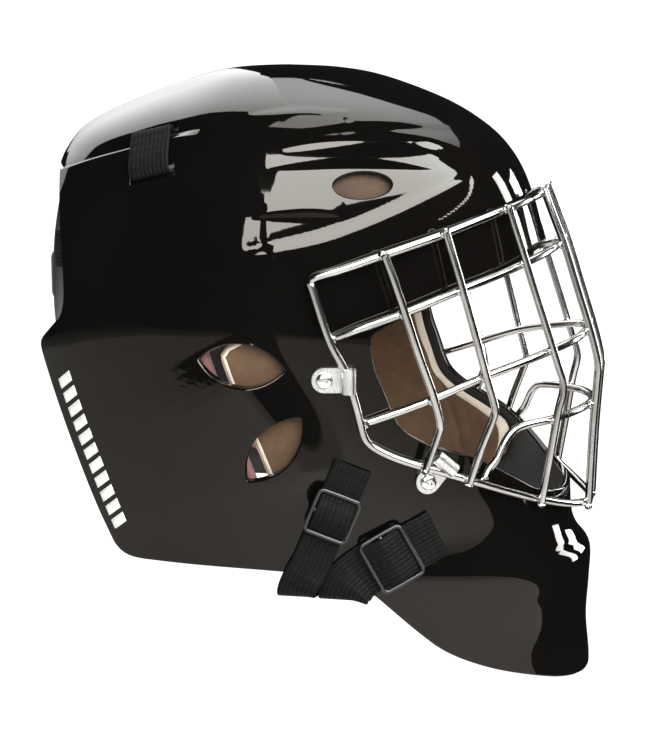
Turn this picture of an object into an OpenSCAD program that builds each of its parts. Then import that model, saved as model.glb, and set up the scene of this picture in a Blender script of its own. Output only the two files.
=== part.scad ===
// Goalie mask: moulded shell, steel wire cage, back plate, foam lining, chin cup and webbing harness.
// +X is forward, +Y is the wearer's left, +Z is up. The origin is the middle of the head cavity.
// The mask stands nose up, as it rests on the tip of its back plate and its chin.

/* [Shell] */
// Wall thickness of the moulded shell
wall = 4; // [3:0.5:5]
// Half of the shell's greatest width
half_width = 110; // [106:1:114]

/* [Cage] */
// Wire diameter of the cage
wire = 4; // [3.6:0.1:4.4]
// Thickness of the cage clips
clip_t = 1.6; // [1.2:0.1:2]
// Major diameter of the clip screws' shanks
screw_d = 4; // [3:0.5:5]
// Diameter of the clip screws' heads
head_d = 8; // [7:0.5:9]

/* [Lining] */
// Thickness of the foam lining
foam = 11; // [8:1:13]
// Gap between the shell and the foam
foam_gap = 0.8; // [0.6:0.1:1.5]

/* [Harness] */
// Width of the rear jaw strap
strap_a_w = 19; // [17:0.5:20]
// Width of the front jaw strap
strap_b_w = 25; // [22:0.5:26]
// Thickness of the webbing
webbing_t = 1.6; // [1.3:0.1:1.8]
// Width of the harness strap at the crown
tab_w = 21; // [18:1:22]

/* [Back plate] */
// Wall thickness of the back plate
plate_wall = 3; // [2.5:0.5:3.5]
// Thickness of the foam in the back plate
plate_pad = 8.7; // [7:0.1:10]

/* [Hidden] */
$fn = 32;

// Stations of the shell from the crown down: height, front, back, widest point, half width, fullness
stations = [
    [136.3,   0,   -4, -2,  0.4, 2.0],
    [135.0,  26,  -26, -2,  26,  2.0],
    [130.5,  50,  -47, -4,  49,  2.0],
    [119.0,  81,  -78, -8,  72,  2.1],
    [106.5, 102, -104, -12, 86,  2.15],
    [ 93.0, 115.5, -116, -15, 95, 2.2],
    [ 75.0, 125, -124, -18, 102, 2.2],
    [ 45.0, 134, -142, -20, 107, 2.1],
    [ 10.0, 139, -154, -22, 110, 2.1],
    [-30.0, 144, -160, -22, 109, 2.1],
    [-70.0, 148.5, -156, -20, 106, 2.1],
    [-93.0, 150, -150, -16, 103, 2.1],
    [-103.0, 153.5, -146, -14, 102, 2.1],
    [-112.0, 160, -140, -12, 101, 2.1],
    [-128.0, 160, -130, -8,  98,  2.1],
    [-150.0, 159, -110, -4,   94,  2.1],
    [-172.0, 161, -95,  0,   90,  2.1],
    [-190.0, 160, -90,  0,   88,  2.1]];
width_scale = half_width / 110;

// Catmull-Rom value between b and c
function spline(a, b, c, d, t) =
    0.5 * (2 * b + (c - a) * t + (2 * a - 5 * b + 4 * c - d) * t * t + (3 * b - a - 3 * c + d) * t * t * t);
function at(list, i) = list[max(0, min(len(list) - 1, i))];
function station(t) = let (i = floor(t), f = t - i)
    spline(at(stations, i - 1), at(stations, i), at(stations, i + 1), at(stations, i + 2), f);
function power(v, e) = sign(v) * pow(abs(v), e);

// Point of the outer surface at angle a and station t
function skin_point(a, t) =
    let (s = station(t), e = 2 / s[5], reach = cos(a) > 0 ? s[1] - s[3] : s[3] - s[2])
    [s[3] + reach * power(cos(a), e), width_scale * s[4] * power(sin(a), e), s[0]];
function unit(v) = v / norm(v);
function normal(a, t) = t < 0.2 ? [0, 0, 1] :
    unit(cross(skin_point(a, min(t + 0.05, len(stations) - 1)) - skin_point(a, t - 0.05),
               skin_point(a + 1, t) - skin_point(a - 1, t)));
function inset(a, t, depth) = skin_point(a, t) - depth * normal(a, t);

// Closed body under the outer surface, inset by depth
module body_at(depth, around, rings, low = 17) {
    points = [for (k = [0:rings]) for (j = [0:around - 1]) inset(360 * j / around, low * k / rings, depth)];
    sides = [for (k = [0:rings - 1]) for (j = [0:around - 1])
        let (n = (j + 1) % around, p = k * around, q = p + around)
        each [[p + j, q + n, q + j], [p + j, p + n, q + n]]];
    caps = [[for (j = [around - 1:-1:0]) j], [for (j = [0:around - 1]) rings * around + j]];
    polyhedron(points, concat(sides, caps), convexity = 6);
}

// Prism across the whole width from an outline drawn in the side view (x, z)
module side_prism(width = 300) {
    rotate([90, 0, 0]) translate([0, 0, -width / 2]) linear_extrude(width) children();
}

outline = [
    [-150, 86], [-150, 150], [180, 150], [180, -176], [160, -175.5], [151, -173], [138, -168],
    [115, -160], [95, -150], [82, -138], [72, -128], [60, -116], [50, -111], [40, -108.5],
    [18, -106], [-42, -104.5], [-59, -104.5], [-66, -101.5], [-71, -95], [-103, -13], [-108, -0.5],
    [-107.5, 3], [-100.5, 10], [-92.5, 18], [-94.5, 40], [-98.5, 62], [-102, 80], [-103, 86]];
face = [
    [61, 12], [60.5, 4], [63, -7], [68, -19], [72, -30], [75, -35], [80, -39], [89, -44],
    [108, -51], [123, -61], [142, -77], [200, -90], [200, 70], [134, 46], [127.5, 39.5], [100, 28.5]];

module ear_hole(x, z, half_length, half_height, tilt) {
    r = (half_length * half_length + half_height * half_height) / (2 * half_height);
    translate([x, z]) rotate(tilt) intersection_for (s = [-1, 1])
        translate([0, s * (r - half_height)]) circle(r, $fn = 64);
}

module vent_hole() {
    translate([55, 81]) scale([12.2, 6]) circle(1, $fn = 40);
}

module shell() {
    color([0.06, 0.06, 0.05]) resize([0, 0, 0]) difference() {
        intersection() {
            difference() {
                body_at(0, 60, 42);
                body_at(wall, 60, 42);
            }
            side_prism() polygon(outline);
        }
        side_prism() polygon(face);
        side_prism() ear_hole(0.5, -3.5, 20.5, 10, -6);
        side_prism() ear_hole(15.5, -44, 20.5, 9.5, 50);
        side_prism() vent_hole();
        for (s = sides) on_side(s) {
            place_on(rear_screw) cylinder(d = screw_d + hole_play, h = 20, center = true);
            place_on(lower_screw) cylinder(d = screw_d + hole_play, h = 20, center = true);
            for (p = [tab_top, tab_low]) crown_slot(on_shell(p, 0), normal(p[0], p[1]));
        }
    }
}

// ---- Placing ----
sides = [-1, 1];
// Station whose height is z, by halving
function station_at(z, low = 0, high = 17, n = 18) = n == 0 ? (low + high) / 2 :
    let (m = (low + high) / 2)
    station(m)[0] > z ? station_at(z, m, high, n - 1) : station_at(z, low, m, n - 1);
// Place on the right side seen at x, z: [angle, station]
function place(x, z) =
    let (t = station_at(z), p = station(t), reach = x > p[3] ? p[1] - p[3] : p[3] - p[2])
    [-acos(power((x - p[3]) / reach, p[5] / 2)), t];
// Builds for the right side (-Y) and mirrors for the left
module on_side(s) {
    if (s < 0) children(); else mirror([0, 1, 0]) children();
}
// Moves children onto the right side's surface: place = [angle, station], +Z outward, +X down, +Y forward
module place_on(place, lift = 0, turn = 0) {
    n = normal(place[0], place[1]);
    translate(skin_point(place[0], place[1]) + lift * n)
        rotate([0, acos(n[2]), atan2(n[1], n[0])]) rotate(turn) children();
}
function on_shell(place, lift) = skin_point(place[0], place[1]) + lift * normal(place[0], place[1]);

// ---- Cage ----
rear_screw = place(39.4, -10.1);
lower_screw = place(86.4, -61.2);
hole_play = 0.6;
cage_middle = [30, 0, -10];

function smooth_path(c, n) = [for (i = [0:len(c) - 2]) for (k = [0:n - 1])
    spline(at(c, i - 1), at(c, i), at(c, i + 1), at(c, i + 2), k / n), c[len(c) - 1]];
function mirrored(c) = [for (i = [len(c) - 1:-1:0]) if (abs(c[i][1]) > 0.01) [c[i][0], -c[i][1], c[i][2]]];
// Centre line from the left end round to the right end, given the right half from the middle outwards
function whole(half) = concat([for (i = [len(half) - 1:-1:0]) [half[i][0], -half[i][1], half[i][2]]],
                              [for (i = [(abs(half[0][1]) < 0.01 ? 1 : 0):len(half) - 1]) half[i]]);

// Round bar swept along a path; a closed path has no ends
module bar(path, r = wire / 2, facets = 8, closed = false) {
    n = len(path);
    function near_point(i) = closed ? path[(i + n) % n] : path[max(0, min(n - 1, i))];
    points = [for (i = [0:n - 1])
        let (t = unit(near_point(i + 1) - near_point(i - 1)), out = path[i] - cage_middle,
             u = unit(out - (out * t) * t), v = cross(t, u))
        for (k = [0:facets - 1]) let (g = 360 * (k + 0.5) / facets) path[i] + r * (cos(g) * u + sin(g) * v)];
    skin = [for (i = [0:n - (closed ? 1 : 2)]) for (k = [0:facets - 1])
        let (p = i * facets, q = ((i + 1) % n) * facets, m = (k + 1) % facets)
        each [[p + k, q + k, q + m], [p + k, q + m, p + m]]];
    ends = closed ? [] : [[for (k = [0:facets - 1]) k], [for (k = [facets - 1:-1:0]) (n - 1) * facets + k]];
    polyhedron(points, concat(skin, ends), convexity = 8);
}

rim_top = [
    [133.5, 0, 73], [132, -14, 72.5], [127, -32, 70.5], [118, -49, 67], [107, -63, 63],
    [92, -80, 57.5], [77, -92, 52.5], [62, -100, 47.5], [47, -105.3, 42.5], [37, -107.4, 39.5],
    [34, -107.6, 37]];
rim_rear = [
    [35.5, -107.8, 32], [43, -107, 9], [50, -105.2, -5], [54, -103.8, -18], [57, -101.8, -31]];
rim_low = [
    [58.5, -101, -37], [60.5, -100.2, -40.5], [64, -98.8, -43.5], [71, -96, -47.5], [79, -92.5, -51],
    [89, -88, -54.5], [106, -77.5, -61.5], [124, -62, -70], [139, -45, -77.5], [151, -27, -83],
    [158.5, -10, -85.5], [159.5, 0, -86]];
upper_bar_half = [
    [142.5, 0, 47.6], [141, -14, 46.9], [136.4, -30, 44.5], [127.9, -46.2, 41], [116, -62, 36.5],
    [100, -80, 31], [78.1, -95.2, 22.5], [58, -102.5, 15.5], [43.8, -103.8, 10]];
lower_bar_half = [
    [156.5, 0, 4], [155.5, -14, 3], [151, -30, 1], [141, -46.5, -2], [128, -62, -6], [112, -76, -11],
    [88.2, -90.3, -20.5], [72, -95.5, -26.5], [59.6, -99.4, -30.7]];
mouth_bar_half = [
    [159.4, 0, -34], [158, -14, -34.2], [152.6, -30, -34.8], [142.6, -46.5, -36.1], [132, -56, -37.2],
    [126, -61.5, -39], [122, -65, -44], [118.5, -67.5, -52], [114.6, -70, -57.5], [113, -72.1, -61.1]];
upright_1 = [
    [68, -101.1, 49.5], [72, -100.8, 39], [77, -99.6, 24], [83.5, -97, 3], [89.5, -93.8, -15],
    [92.8, -91.8, -27], [93.5, -91.1, -32], [92.5, -91.1, -36.5], [86.4, -92.7, -55.1]];
upright_2 = [
    [93.6, -82.1, 59.9], [98, -82.4, 46], [102.5, -82, 31], [108.5, -81, 10], [113.5, -79.2, -9],
    [117, -78, -21], [118, -77.7, -26], [117, -77.8, -31], [111.5, -79.2, -46], [106, -80.3, -63.8]];
upright_3 = [
    [120.2, -51.2, 68.8], [123, -51.2, 60], [127.5, -50.7, 46.5], [133.5, -50, 28], [139.5, -49.6, 10],
    [146, -49, -10], [148, -48.8, -16], [148, -48.8, -22], [145.9, -49.2, -32], [142.6, -49.6, -54],
    [138.5, -49, -79.5]];
upright_4 = [
    [133.4, -14, 75.8], [138, -14.5, 64], [144.5, -14.5, 47.5], [151.5, -14.5, 26], [158.5, -14, 4.5],
    [162, -14, -8], [163, -14, -15], [162.6, -14, -22], [160.9, -14, -50], [159.8, -13.9, -87.8]];
rim_path = let (half = concat(rim_top, rim_rear, rim_low)) smooth_path(half, 2);

module cage_rim() color("silver") bar(concat(rim_path, mirrored(rim_path)), closed = true);
module upper_bar() color("silver") bar(smooth_path(whole(upper_bar_half), 3));
module lower_bar() color("silver") bar(smooth_path(whole(lower_bar_half), 2));
module mouth_bar() color("silver") bar(smooth_path(whole(mouth_bar_half), 2));
module upright(half, s) color("silver") on_side(s) bar(smooth_path(half, 3));

// P-clip round the rim: screw eye at the origin, wire along local Y at [reach, 0, wire_lift]
module clip(reach, wire_lift, band_w) {
    color("silver") difference() {
        union() {
            translate([0, 0, 0.4]) cylinder(d = 12, h = clip_t);
            translate([0, -band_w / 2, 0.4]) cube([reach, band_w, clip_t]);
            translate([reach, 0, wire_lift]) rotate([90, 0, 0])
                cylinder(d = wire + 2 * clip_t, h = band_w, center = true);
        }
        cylinder(d = screw_d + 0.3, h = 20, center = true);
        translate([reach, 0, wire_lift]) rotate([90, 0, 0])
            cylinder(d = wire + 0.2, h = band_w + 1, center = true);
    }
}

// Wire centre above the shell at each clip, and how far it is from the screw
rear_reach = 11.5;
lower_reach = 12;
clip_wire_lift = 4.4;
module rear_clip(s) color("silver") on_side(s)
    place_on(rear_screw, 0, 90) clip(rear_reach, clip_wire_lift, 12);
module lower_clip(s) color("silver") on_side(s)
    place_on(lower_screw, 0, 140) clip(lower_reach, clip_wire_lift, 12);

// Cross-recess pan-head screw, head up from z = 0, shank down through the wall
module clip_screw() {
    translate([0, 0, clip_t + 0.45]) difference() {
        cylinder(d = head_d, h = 2);
        for (a = [0, 90]) rotate(a) translate([-2.4, -0.5, 0.8]) cube([4.8, 1, 3]);
    }
    translate([0, 0, -wall - 5]) cylinder(d = screw_d, h = wall + 5 + clip_t + 0.45);
}
module at_clip_screws() {
    for (s = sides) on_side(s) {
        place_on(rear_screw) children();
        place_on(lower_screw) children();
    }
}
module clip_screws() color("gainsboro") at_clip_screws() clip_screw();
module clip_nuts() color("gainsboro") at_clip_screws() translate([0, 0, -wall - 4.2]) difference() {
    cylinder(d = 8, h = 3.2, $fn = 6);
    cylinder(d = screw_d + 0.1, h = 10, center = true);
}

// ---- Lining ----
// Foam between two depths under the shell, within a side-view outline
module lining(depth_a, depth_b, half = false) {
    resize([0, 0, 0]) intersection() {
        difference() {
            body_at(depth_a, 36, 28, 16);
            body_at(depth_b, 36, 28, 16);
        }
        side_prism() children();
        if (half) translate([-300, -300, -300]) cube([600, 300, 600]);
    }
}
tan = [0.45, 0.33, 0.24];
brown = [0.36, 0.26, 0.19];
black_web = [0.13, 0.13, 0.12];
foam_out = wall + foam_gap;
foam_in = foam_out + foam;
module rounded(r) offset(r) offset(-r) children();

jaw_pad_outline = [
    [-14, 8], [57, 22], [57.5, 4], [60, -10], [65, -23], [70, -36], [77, -42.5], [88, -48], [106, -55],
    [117, -62], [112, -84], [90, -98], [34, -97], [22, -88], [8, -50], [-7, -14]];
rear_pad_outline = [
    [-22, 60], [-22, 14], [-13, -14], [1, -50], [11, -78], [16, -94], [-50, -94], [-58, -60], [-64, -4],
    [-62, 24], [-62, 60]];
brow_pad_outline = [[24, 98], [150, 98], [150, 62], [118, 58], [92, 50], [60, 40], [24, 32]];
crown_pad_outline = [[-80, 101], [-80, 150], [94, 150], [94, 105]];
// Pocket in the foam behind a clip screw's nut
pocket_d = 12;
module nut_pocket(p) place_on(p) translate([0, 0, -wall - 6]) cylinder(d = pocket_d, h = 8, $fn = 20);
module jaw_pad(s) color(tan) on_side(s) resize([0, 0, 0]) difference() {
    lining(foam_out, foam_in, true) rounded(4) polygon(jaw_pad_outline);
    nut_pocket(rear_screw);
    nut_pocket(lower_screw);
}
module rear_pad(s) color(brown) on_side(s)
    lining(foam_out, foam_in, true) rounded(5) polygon(rear_pad_outline);
module brow_pad() color(brown) lining(foam_out, foam_in) rounded(5) polygon(brow_pad_outline);
module crown_pad() color(brown) lining(foam_out, foam_in) rounded(4) polygon(crown_pad_outline);
module sweatband() color([0.8, 0.74, 0.66]) lining(foam_in + 0.4, foam_in + 3.4)
    polygon([[46, 78], [150, 78], [150, 63], [96, 57], [46, 44]]);

// ---- Back plate ----
// Height, back, widest point, half width
plate_stations = [
    [82, -113.5, -60, 70], [72, -117.5, -60, 75], [50, -121.5, -60, 78], [25, -123, -60, 78.5],
    [0, -122, -60, 77], [-22, -118, -60, 73], [-40, -112, -60, 67], [-48, -108, -60, 62]];
plate_reach = 104;
function plate_point(i, k, n, depth) =
    let (p = at(plate_stations, i), a = plate_reach + (360 - 2 * plate_reach) * k / n, e = 2 / 2.3)
    [p[2] + (p[2] - p[1] - depth) * power(cos(a), e), (p[3] - depth) * power(sin(a), e), p[0]];
module plate_layer(depth_a, depth_b, first, last, trim) {
    n = 30;
    rows = last - first;
    ring = [for (k = [trim:n - trim]) k];
    m = len(ring);
    points = concat([for (i = [first:last]) for (k = ring) plate_point(i, k, n, depth_a)],
                    [for (i = [first:last]) for (k = ring) plate_point(i, k, n, depth_b)]);
    b = (rows + 1) * m;
    faces_out = [for (i = [0:rows - 1]) for (k = [0:m - 2])
        let (p = i * m + k) each [[p, p + 1, p + m + 1], [p, p + m + 1, p + m]]];
    faces_in = [for (f = faces_out) [f[0] + b, f[2] + b, f[1] + b]];
    top = [for (k = [0:m - 2]) each [[k, k + 1 + b, k + 1], [k, k + b, k + 1 + b]]];
    low = [for (k = [0:m - 2]) let (p = rows * m + k) each [[p, p + 1, p + 1 + b], [p, p + 1 + b, p + b]]];
    left = [for (i = [0:rows - 1]) let (p = i * m) each [[p, p + m + b, p + b], [p, p + m, p + m + b]]];
    right = [for (i = [0:rows - 1]) let (p = i * m + m - 1)
        each [[p, p + b, p + m + b], [p, p + m + b, p + m]]];
    polyhedron(points, concat(faces_out, faces_in, top, low, left, right), convexity = 6);
}
module back_plate() color([0.07, 0.07, 0.06]) plate_layer(0, plate_wall, 0, 7, 0);
module plate_foam() color(brown) plate_layer(plate_wall + 0.3, plate_wall + 0.3 + plate_pad, 1, 6, 2);

// ---- Straps ----
// Flat webbing along a path: inner face's points, outward directions, width and thickness
module webbing(path, outs, w, t = webbing_t) {
    n = len(path);
    points = [for (i = [0:n - 1])
        let (go = unit(path[min(n - 1, i + 1)] - path[max(0, i - 1)]), o = outs[i],
             up = unit(o - (o * go) * go),
             side = cross(go, up))
        each [path[i] - w / 2 * side, path[i] + w / 2 * side, path[i] + w / 2 * side + t * up,
              path[i] - w / 2 * side + t * up]];
    skin = [for (i = [0:n - 2]) for (k = [0:3])
        let (p = 4 * i, q = p + 4, m = (k + 1) % 4) each [[p + k, q + m, q + k], [p + k, p + m, q + m]]];
    ends = [[3, 2, 1, 0], [4 * n - 4, 4 * n - 3, 4 * n - 2, 4 * n - 1]];
    polyhedron(points, concat(ends, skin), convexity = 6);
}
function mix_points(a, b, n) = [for (k = [0:n]) a + (b - a) * k / n];
function lifted(places, lift) = [for (p = places) on_shell(p, lift)];
function outward(places) = [for (p = places) normal(p[0], p[1])];
strap_lift = 1;
// The rear jaw strap rides over the front one at the edge
over_lift = 2.2;

// Jaw straps: down the outside of the jaw, under its edge, and up inside
strap_a_outside = [for (p = mix_points([52.5, -52], [31.5, -102], 7)) place(p[0], p[1])];
strap_a_fold = [
    [28.5, -103, -108], [25.8, -101.5, -114], [24.6, -97, -117.4], [25.2, -91.4, -116.5], [27, -88.5, -110],
    [30, -88, -103]];
strap_b_outside = [for (p = [[91, -87], [84, -91], [76.5, -95], [69, -98.5], [62, -102], [56, -106]])
    place(p[0], p[1])];
strap_b_fold = [
    [50.5, -98, -111.5], [48, -97, -116.5], [47.3, -92.5, -119], [48.2, -86.5, -117.5], [50, -84, -110],
    [52, -84, -104]];
fold_outs = [[0, -1, 0], [0, -1, -0.3], [0, -0.2, -1], [0, 1, -0.6], [0, 1, 0], [0, 1, 0]];
// extra: how much higher the strap lies at its lower end
module jaw_strap(places, fold, w, s, extra) color(black_web) on_side(s) {
    n = len(places) - 1;
    outside = [for (i = [0:n]) on_shell(places[i], strap_lift + extra * pow(i / n, 2))];
    webbing(concat(outside, fold), concat(outward(places), fold_outs), w);
}
module jaw_strap_a(s) jaw_strap(strap_a_outside, strap_a_fold, strap_a_w, s, over_lift);
module jaw_strap_b(s) jaw_strap(strap_b_outside, strap_b_fold, strap_b_w, s, 0);

// Slide buckle: frame of two windows with a middle bar, lying on the webbing
slide_l = 24;
slide_t = 2.6;
slide_rim = 2;
slide_gap = 0.9;
module slide(w) {
    window = (slide_l - 3 * slide_rim) / 2;
    color([0.1, 0.1, 0.1]) translate([0, 0, slide_gap]) difference() {
        linear_extrude(slide_t) offset(2) square([slide_l - 4, w + 2 * slide_rim - 4], center = true);
        for (s = [-1, 1]) translate([s * (window + slide_rim) / 2, 0, slide_t / 2])
            cube([window, w, slide_t * 2], center = true);
    }
}
slide_a_at = place(42.6, -75.5);
slide_b_at = place(69.5, -98.2);
slide_lift = strap_lift + webbing_t;
slide_a_lift = slide_lift + 0.8;
slide_b_lift = slide_lift + 0.5;
slide_a_turn = -22;
slide_b_turn = -61;
module slide_a(s) on_side(s) place_on(slide_a_at, slide_a_lift, slide_a_turn) slide(strap_a_w);
module slide_b(s) on_side(s) place_on(slide_b_at, slide_b_lift, slide_b_turn) slide(strap_b_w);

// Harness strap that comes out of one slot at the crown and goes back in at the next
tab_top = place(-48.5, 104);
tab_low = place(-45.5, 85.5);
tab_slot_h = 5;
tab_lift = 1.6;
tab_go = unit(on_shell(tab_low, tab_lift) - on_shell(tab_top, tab_lift));
module crown_slot(p, n)
    webbing([p + 8 * n - tab_slot_h / 2 * tab_go, p - 8 * n - tab_slot_h / 2 * tab_go], [tab_go, tab_go],
            tab_w + 1.4, tab_slot_h);
module crown_strap(s) color([0.15, 0.14, 0.13]) on_side(s) {
    a = on_shell(tab_top, tab_lift);
    b = on_shell(tab_low, tab_lift);
    na = normal(tab_top[0], tab_top[1]);
    nb = normal(tab_low[0], tab_low[1]);
    go = tab_go;
    webbing([a - 3.5 * na, a + 0.2 * go, a + 4 * go, b - 4 * go, b - 0.2 * go, b - 3.5 * nb],
            [-go, na - go, na, nb, nb + go, go], tab_w);
}

// ---- Back plate harness ----
// Height of each side strap, its place on the wall, and its height on the plate
side_strap_z = [46, -16];
side_strap_w = 19;
module side_strap(s) color(black_web) on_side(s) for (z = side_strap_z) {
    a = place(-80, z);
    wall_point = on_shell(a, -wall - 3.4);
    webbing([wall_point + [8, 0, 0], wall_point, wall_point + [-9, 5, 0]],
            [[0, 1, 0], [0.1, 1, 0], [0.4, 1, 0]], side_strap_w);
}
module plate_strap(s) color(black_web) on_side(s) for (z = side_strap_z) {
    row = z > 0 ? 2.2 : 4.75;
    webbing([for (k = [24, 25, 26, 27]) plate_near(row, k, -1.6)],
            [for (k = [0:3]) [-0.6, -1, 0]], side_strap_w);
}
function plate_near(row, k, depth) = let (i = floor(row), f = row - i)
    plate_point(i, k, 30, depth) * (1 - f) + plate_point(i + 1, k, 30, depth) * f;

// Top strap that carries the back plate: anchored under the crown, riveted to the plate
module top_strap() color(black_web)
    webbing([for (row = [0:2]) plate_near(row, 15, -0.6)], [for (row = [0:2]) [-1, 0, 0.1]], 30);
module top_anchor() color(black_web)
    webbing([[-86, 0, 106.5], [-94, 0, 102.5], [-101, 0, 97.5]],
            [[-0.3, 0, 1], [-0.5, 0, 1], [-0.8, 0, 0.8]], 30);

// Moulded keeper on the back plate that the side straps meet in
module strap_keeper() color([0.24, 0.24, 0.22]) on_keeper() linear_extrude(2.2)
    offset(4) square([16, 28], center = true);
module on_keeper() translate([-123.4, 0, 26]) rotate([0, -90, 0]) children();

// ---- Chin cup ----
cup_at = [104, 0, -104];
cup_size = [34, 33, 22];
cup_wall = 4;
module cup_body(grow) scale([cup_size[0] + grow, cup_size[1] + grow, cup_size[2] + grow]) sphere(1, $fn = 28);
module chin_cup() color([0.1, 0.1, 0.1]) resize([0, 0, 0]) translate(cup_at) rotate([0, -18, 0])
    difference() {
        cup_body(0);
        translate([0, 0, 2]) cup_body(-cup_wall);
        translate([0, 0, 50]) cube(100, center = true);
    }
module sling_strap(s) color(black_web) on_side(s)
    webbing([[46, -79, -101], [66, -62, -104], [86, -42, -107]], [for (k = [0:2]) [0.3, 1, 0]], 16);

// Anchors moulded inside the wall for the harness
module strap_anchors() color([0.12, 0.12, 0.12]) for (s = sides) on_side(s) for (z = side_strap_z)
    place_on(place(-76, z), -wall - 2.9) cylinder(d = 9, h = 2.5);

// ---- Decal ----
decal_t = 0.3;
decal_w = 9;
decal_path = [for (p = mix_points([-93, -12], [-63.5, -88], 10)) place(p[0], p[1])];
module decal(s) color("white") on_side(s)
    webbing(lifted(decal_path, 0.15), outward(decal_path), decal_w, decal_t);

shell();
cage_rim();
upper_bar();
lower_bar();
mouth_bar();
upright(upright_1, -1);  // outer_upright_r
upright(upright_1, 1);  // outer_upright_l
upright(upright_2, -1);  // side_upright_r
upright(upright_2, 1);  // side_upright_l
upright(upright_3, -1);  // inner_upright_r
upright(upright_3, 1);  // inner_upright_l
upright(upright_4, -1);  // centre_upright_r
upright(upright_4, 1);  // centre_upright_l
rear_clip(-1);  // rear_clip_r
rear_clip(1);  // rear_clip_l
lower_clip(-1);  // lower_clip_r
lower_clip(1);  // lower_clip_l
clip_screws();
clip_nuts();
jaw_pad(-1);  // jaw_pad_r
jaw_pad(1);  // jaw_pad_l
rear_pad(-1);  // rear_pad_r
rear_pad(1);  // rear_pad_l
brow_pad();
crown_pad();
sweatband();
back_plate();
plate_foam();
strap_keeper();
top_strap();
top_anchor();
side_strap(-1);  // side_straps_r
side_strap(1);  // side_straps_l
plate_strap(-1);  // plate_straps_r
plate_strap(1);  // plate_straps_l
strap_anchors();
jaw_strap_a(-1);  // jaw_strap_a_r
jaw_strap_a(1);  // jaw_strap_a_l
jaw_strap_b(-1);  // jaw_strap_b_r
jaw_strap_b(1);  // jaw_strap_b_l
slide_a(-1);  // slide_a_r
slide_a(1);  // slide_a_l
slide_b(-1);  // slide_b_r
slide_b(1);  // slide_b_l
crown_strap(-1);  // crown_strap_r
crown_strap(1);  // crown_strap_l
chin_cup();
sling_strap(-1);  // sling_strap_r
sling_strap(1);  // sling_strap_l
decal(-1);  // decal_r
decal(1);  // decal_l
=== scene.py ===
import math
import bmesh
import bpy
import numpy as np
from mathutils import Matrix, Vector


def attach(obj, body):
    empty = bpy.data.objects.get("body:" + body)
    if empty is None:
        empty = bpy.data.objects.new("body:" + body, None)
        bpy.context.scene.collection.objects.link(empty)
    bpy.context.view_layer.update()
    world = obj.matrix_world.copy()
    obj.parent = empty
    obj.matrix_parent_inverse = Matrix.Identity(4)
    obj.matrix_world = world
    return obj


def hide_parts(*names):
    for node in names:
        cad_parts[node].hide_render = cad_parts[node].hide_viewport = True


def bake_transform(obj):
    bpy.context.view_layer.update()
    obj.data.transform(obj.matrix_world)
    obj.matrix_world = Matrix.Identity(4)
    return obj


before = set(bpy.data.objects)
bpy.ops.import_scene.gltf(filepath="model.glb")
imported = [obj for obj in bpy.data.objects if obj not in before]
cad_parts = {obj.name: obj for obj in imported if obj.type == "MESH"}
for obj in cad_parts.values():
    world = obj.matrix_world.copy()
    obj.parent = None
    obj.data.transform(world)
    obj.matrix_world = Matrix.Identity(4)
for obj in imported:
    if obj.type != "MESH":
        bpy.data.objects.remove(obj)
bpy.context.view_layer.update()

MM = 0.001
scene = bpy.context.scene
scene.view_settings.view_transform = "Standard"


# ---------------------------------------------------------------- camera
def aim(obj, target):
    obj.rotation_mode = "QUATERNION"
    obj.rotation_quaternion = (Vector(target) - obj.location).to_track_quat("-Z", "Y")


cam = bpy.data.objects.new("camera", bpy.data.cameras.new("camera"))
scene.collection.objects.link(cam)
cam.data.sensor_width = 36
cam.data.lens = 90.6
cam.location = (0.21525, -0.96504, 0.14743)
aim(cam, (0.01891, 0, -0.02622))
scene.camera = cam

# ---------------------------------------------------------------- shell surface
# Rings of the shell from the top down, in millimetres:
# height, front x, rear x, middle x, half width, squareness
STATIONS = np.array([
    [136.3, 0, -4, -2, 0.4, 2.0], [135, 26, -26, -2, 26, 2.0], [130.5, 50, -47, -4, 49, 2.0],
    [119, 81, -78, -8, 72, 2.1], [106.5, 102, -104, -12, 86, 2.15], [93, 115.5, -116, -15, 95, 2.2],
    [75, 125, -124, -18, 102, 2.2], [45, 134, -142, -20, 107, 2.1], [10, 139, -154, -22, 110, 2.1],
    [-30, 144, -160, -22, 109, 2.1], [-70, 148.5, -156, -20, 106, 2.1], [-93, 150, -150, -16, 103, 2.1],
    [-103, 153.5, -146, -14, 102, 2.1], [-112, 160, -140, -12, 101, 2.1], [-128, 160, -130, -8, 98, 2.1],
    [-150, 159, -110, -4, 94, 2.1], [-172, 161, -95, 0, 90, 2.1], [-190, 160, -90, 0, 88, 2.1]])
LAST = len(STATIONS) - 1
WALL = 4.0
FOAM_OUT = 4.8
FOAM_IN = 15.8


def spline(a, b, c, d, f):
    """Point at share f of the way from b to c, on the smooth curve through a, b, c and d."""
    return 0.5 * (2 * b + (c - a) * f + (2 * a - 5 * b + 4 * c - d) * f ** 2
                  + (3 * b - a - 3 * c + d) * f ** 3)


def spline_row(table, t):
    """Row of a table at a fractional index, on smooth curves through its rows."""
    t = np.asarray(t, float)
    end = len(table) - 1
    i = np.clip(np.floor(t).astype(int), 0, end - 1)
    return spline(*(table[np.clip(i + k, 0, end)] for k in (-1, 0, 1, 2)), (t - i)[..., None])


def station(t):
    return spline_row(STATIONS, t)


def power(v, e):
    return np.sign(v) * np.abs(v) ** e


def skin(a, t):
    """Point of the CAD shell's outside, in millimetres, at angle a (radians) and station t."""
    s = station(t)
    e = 2 / s[..., 5]
    ca = np.cos(a)
    reach = np.where(ca > 0, s[..., 1] - s[..., 3], s[..., 3] - s[..., 2])
    return np.stack([s[..., 3] + reach * power(ca, e), s[..., 4] * power(np.sin(a), e), s[..., 0]], -1)


def unit(v):
    return v / np.maximum(np.linalg.norm(v, axis=-1, keepdims=True), 1e-12)


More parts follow.
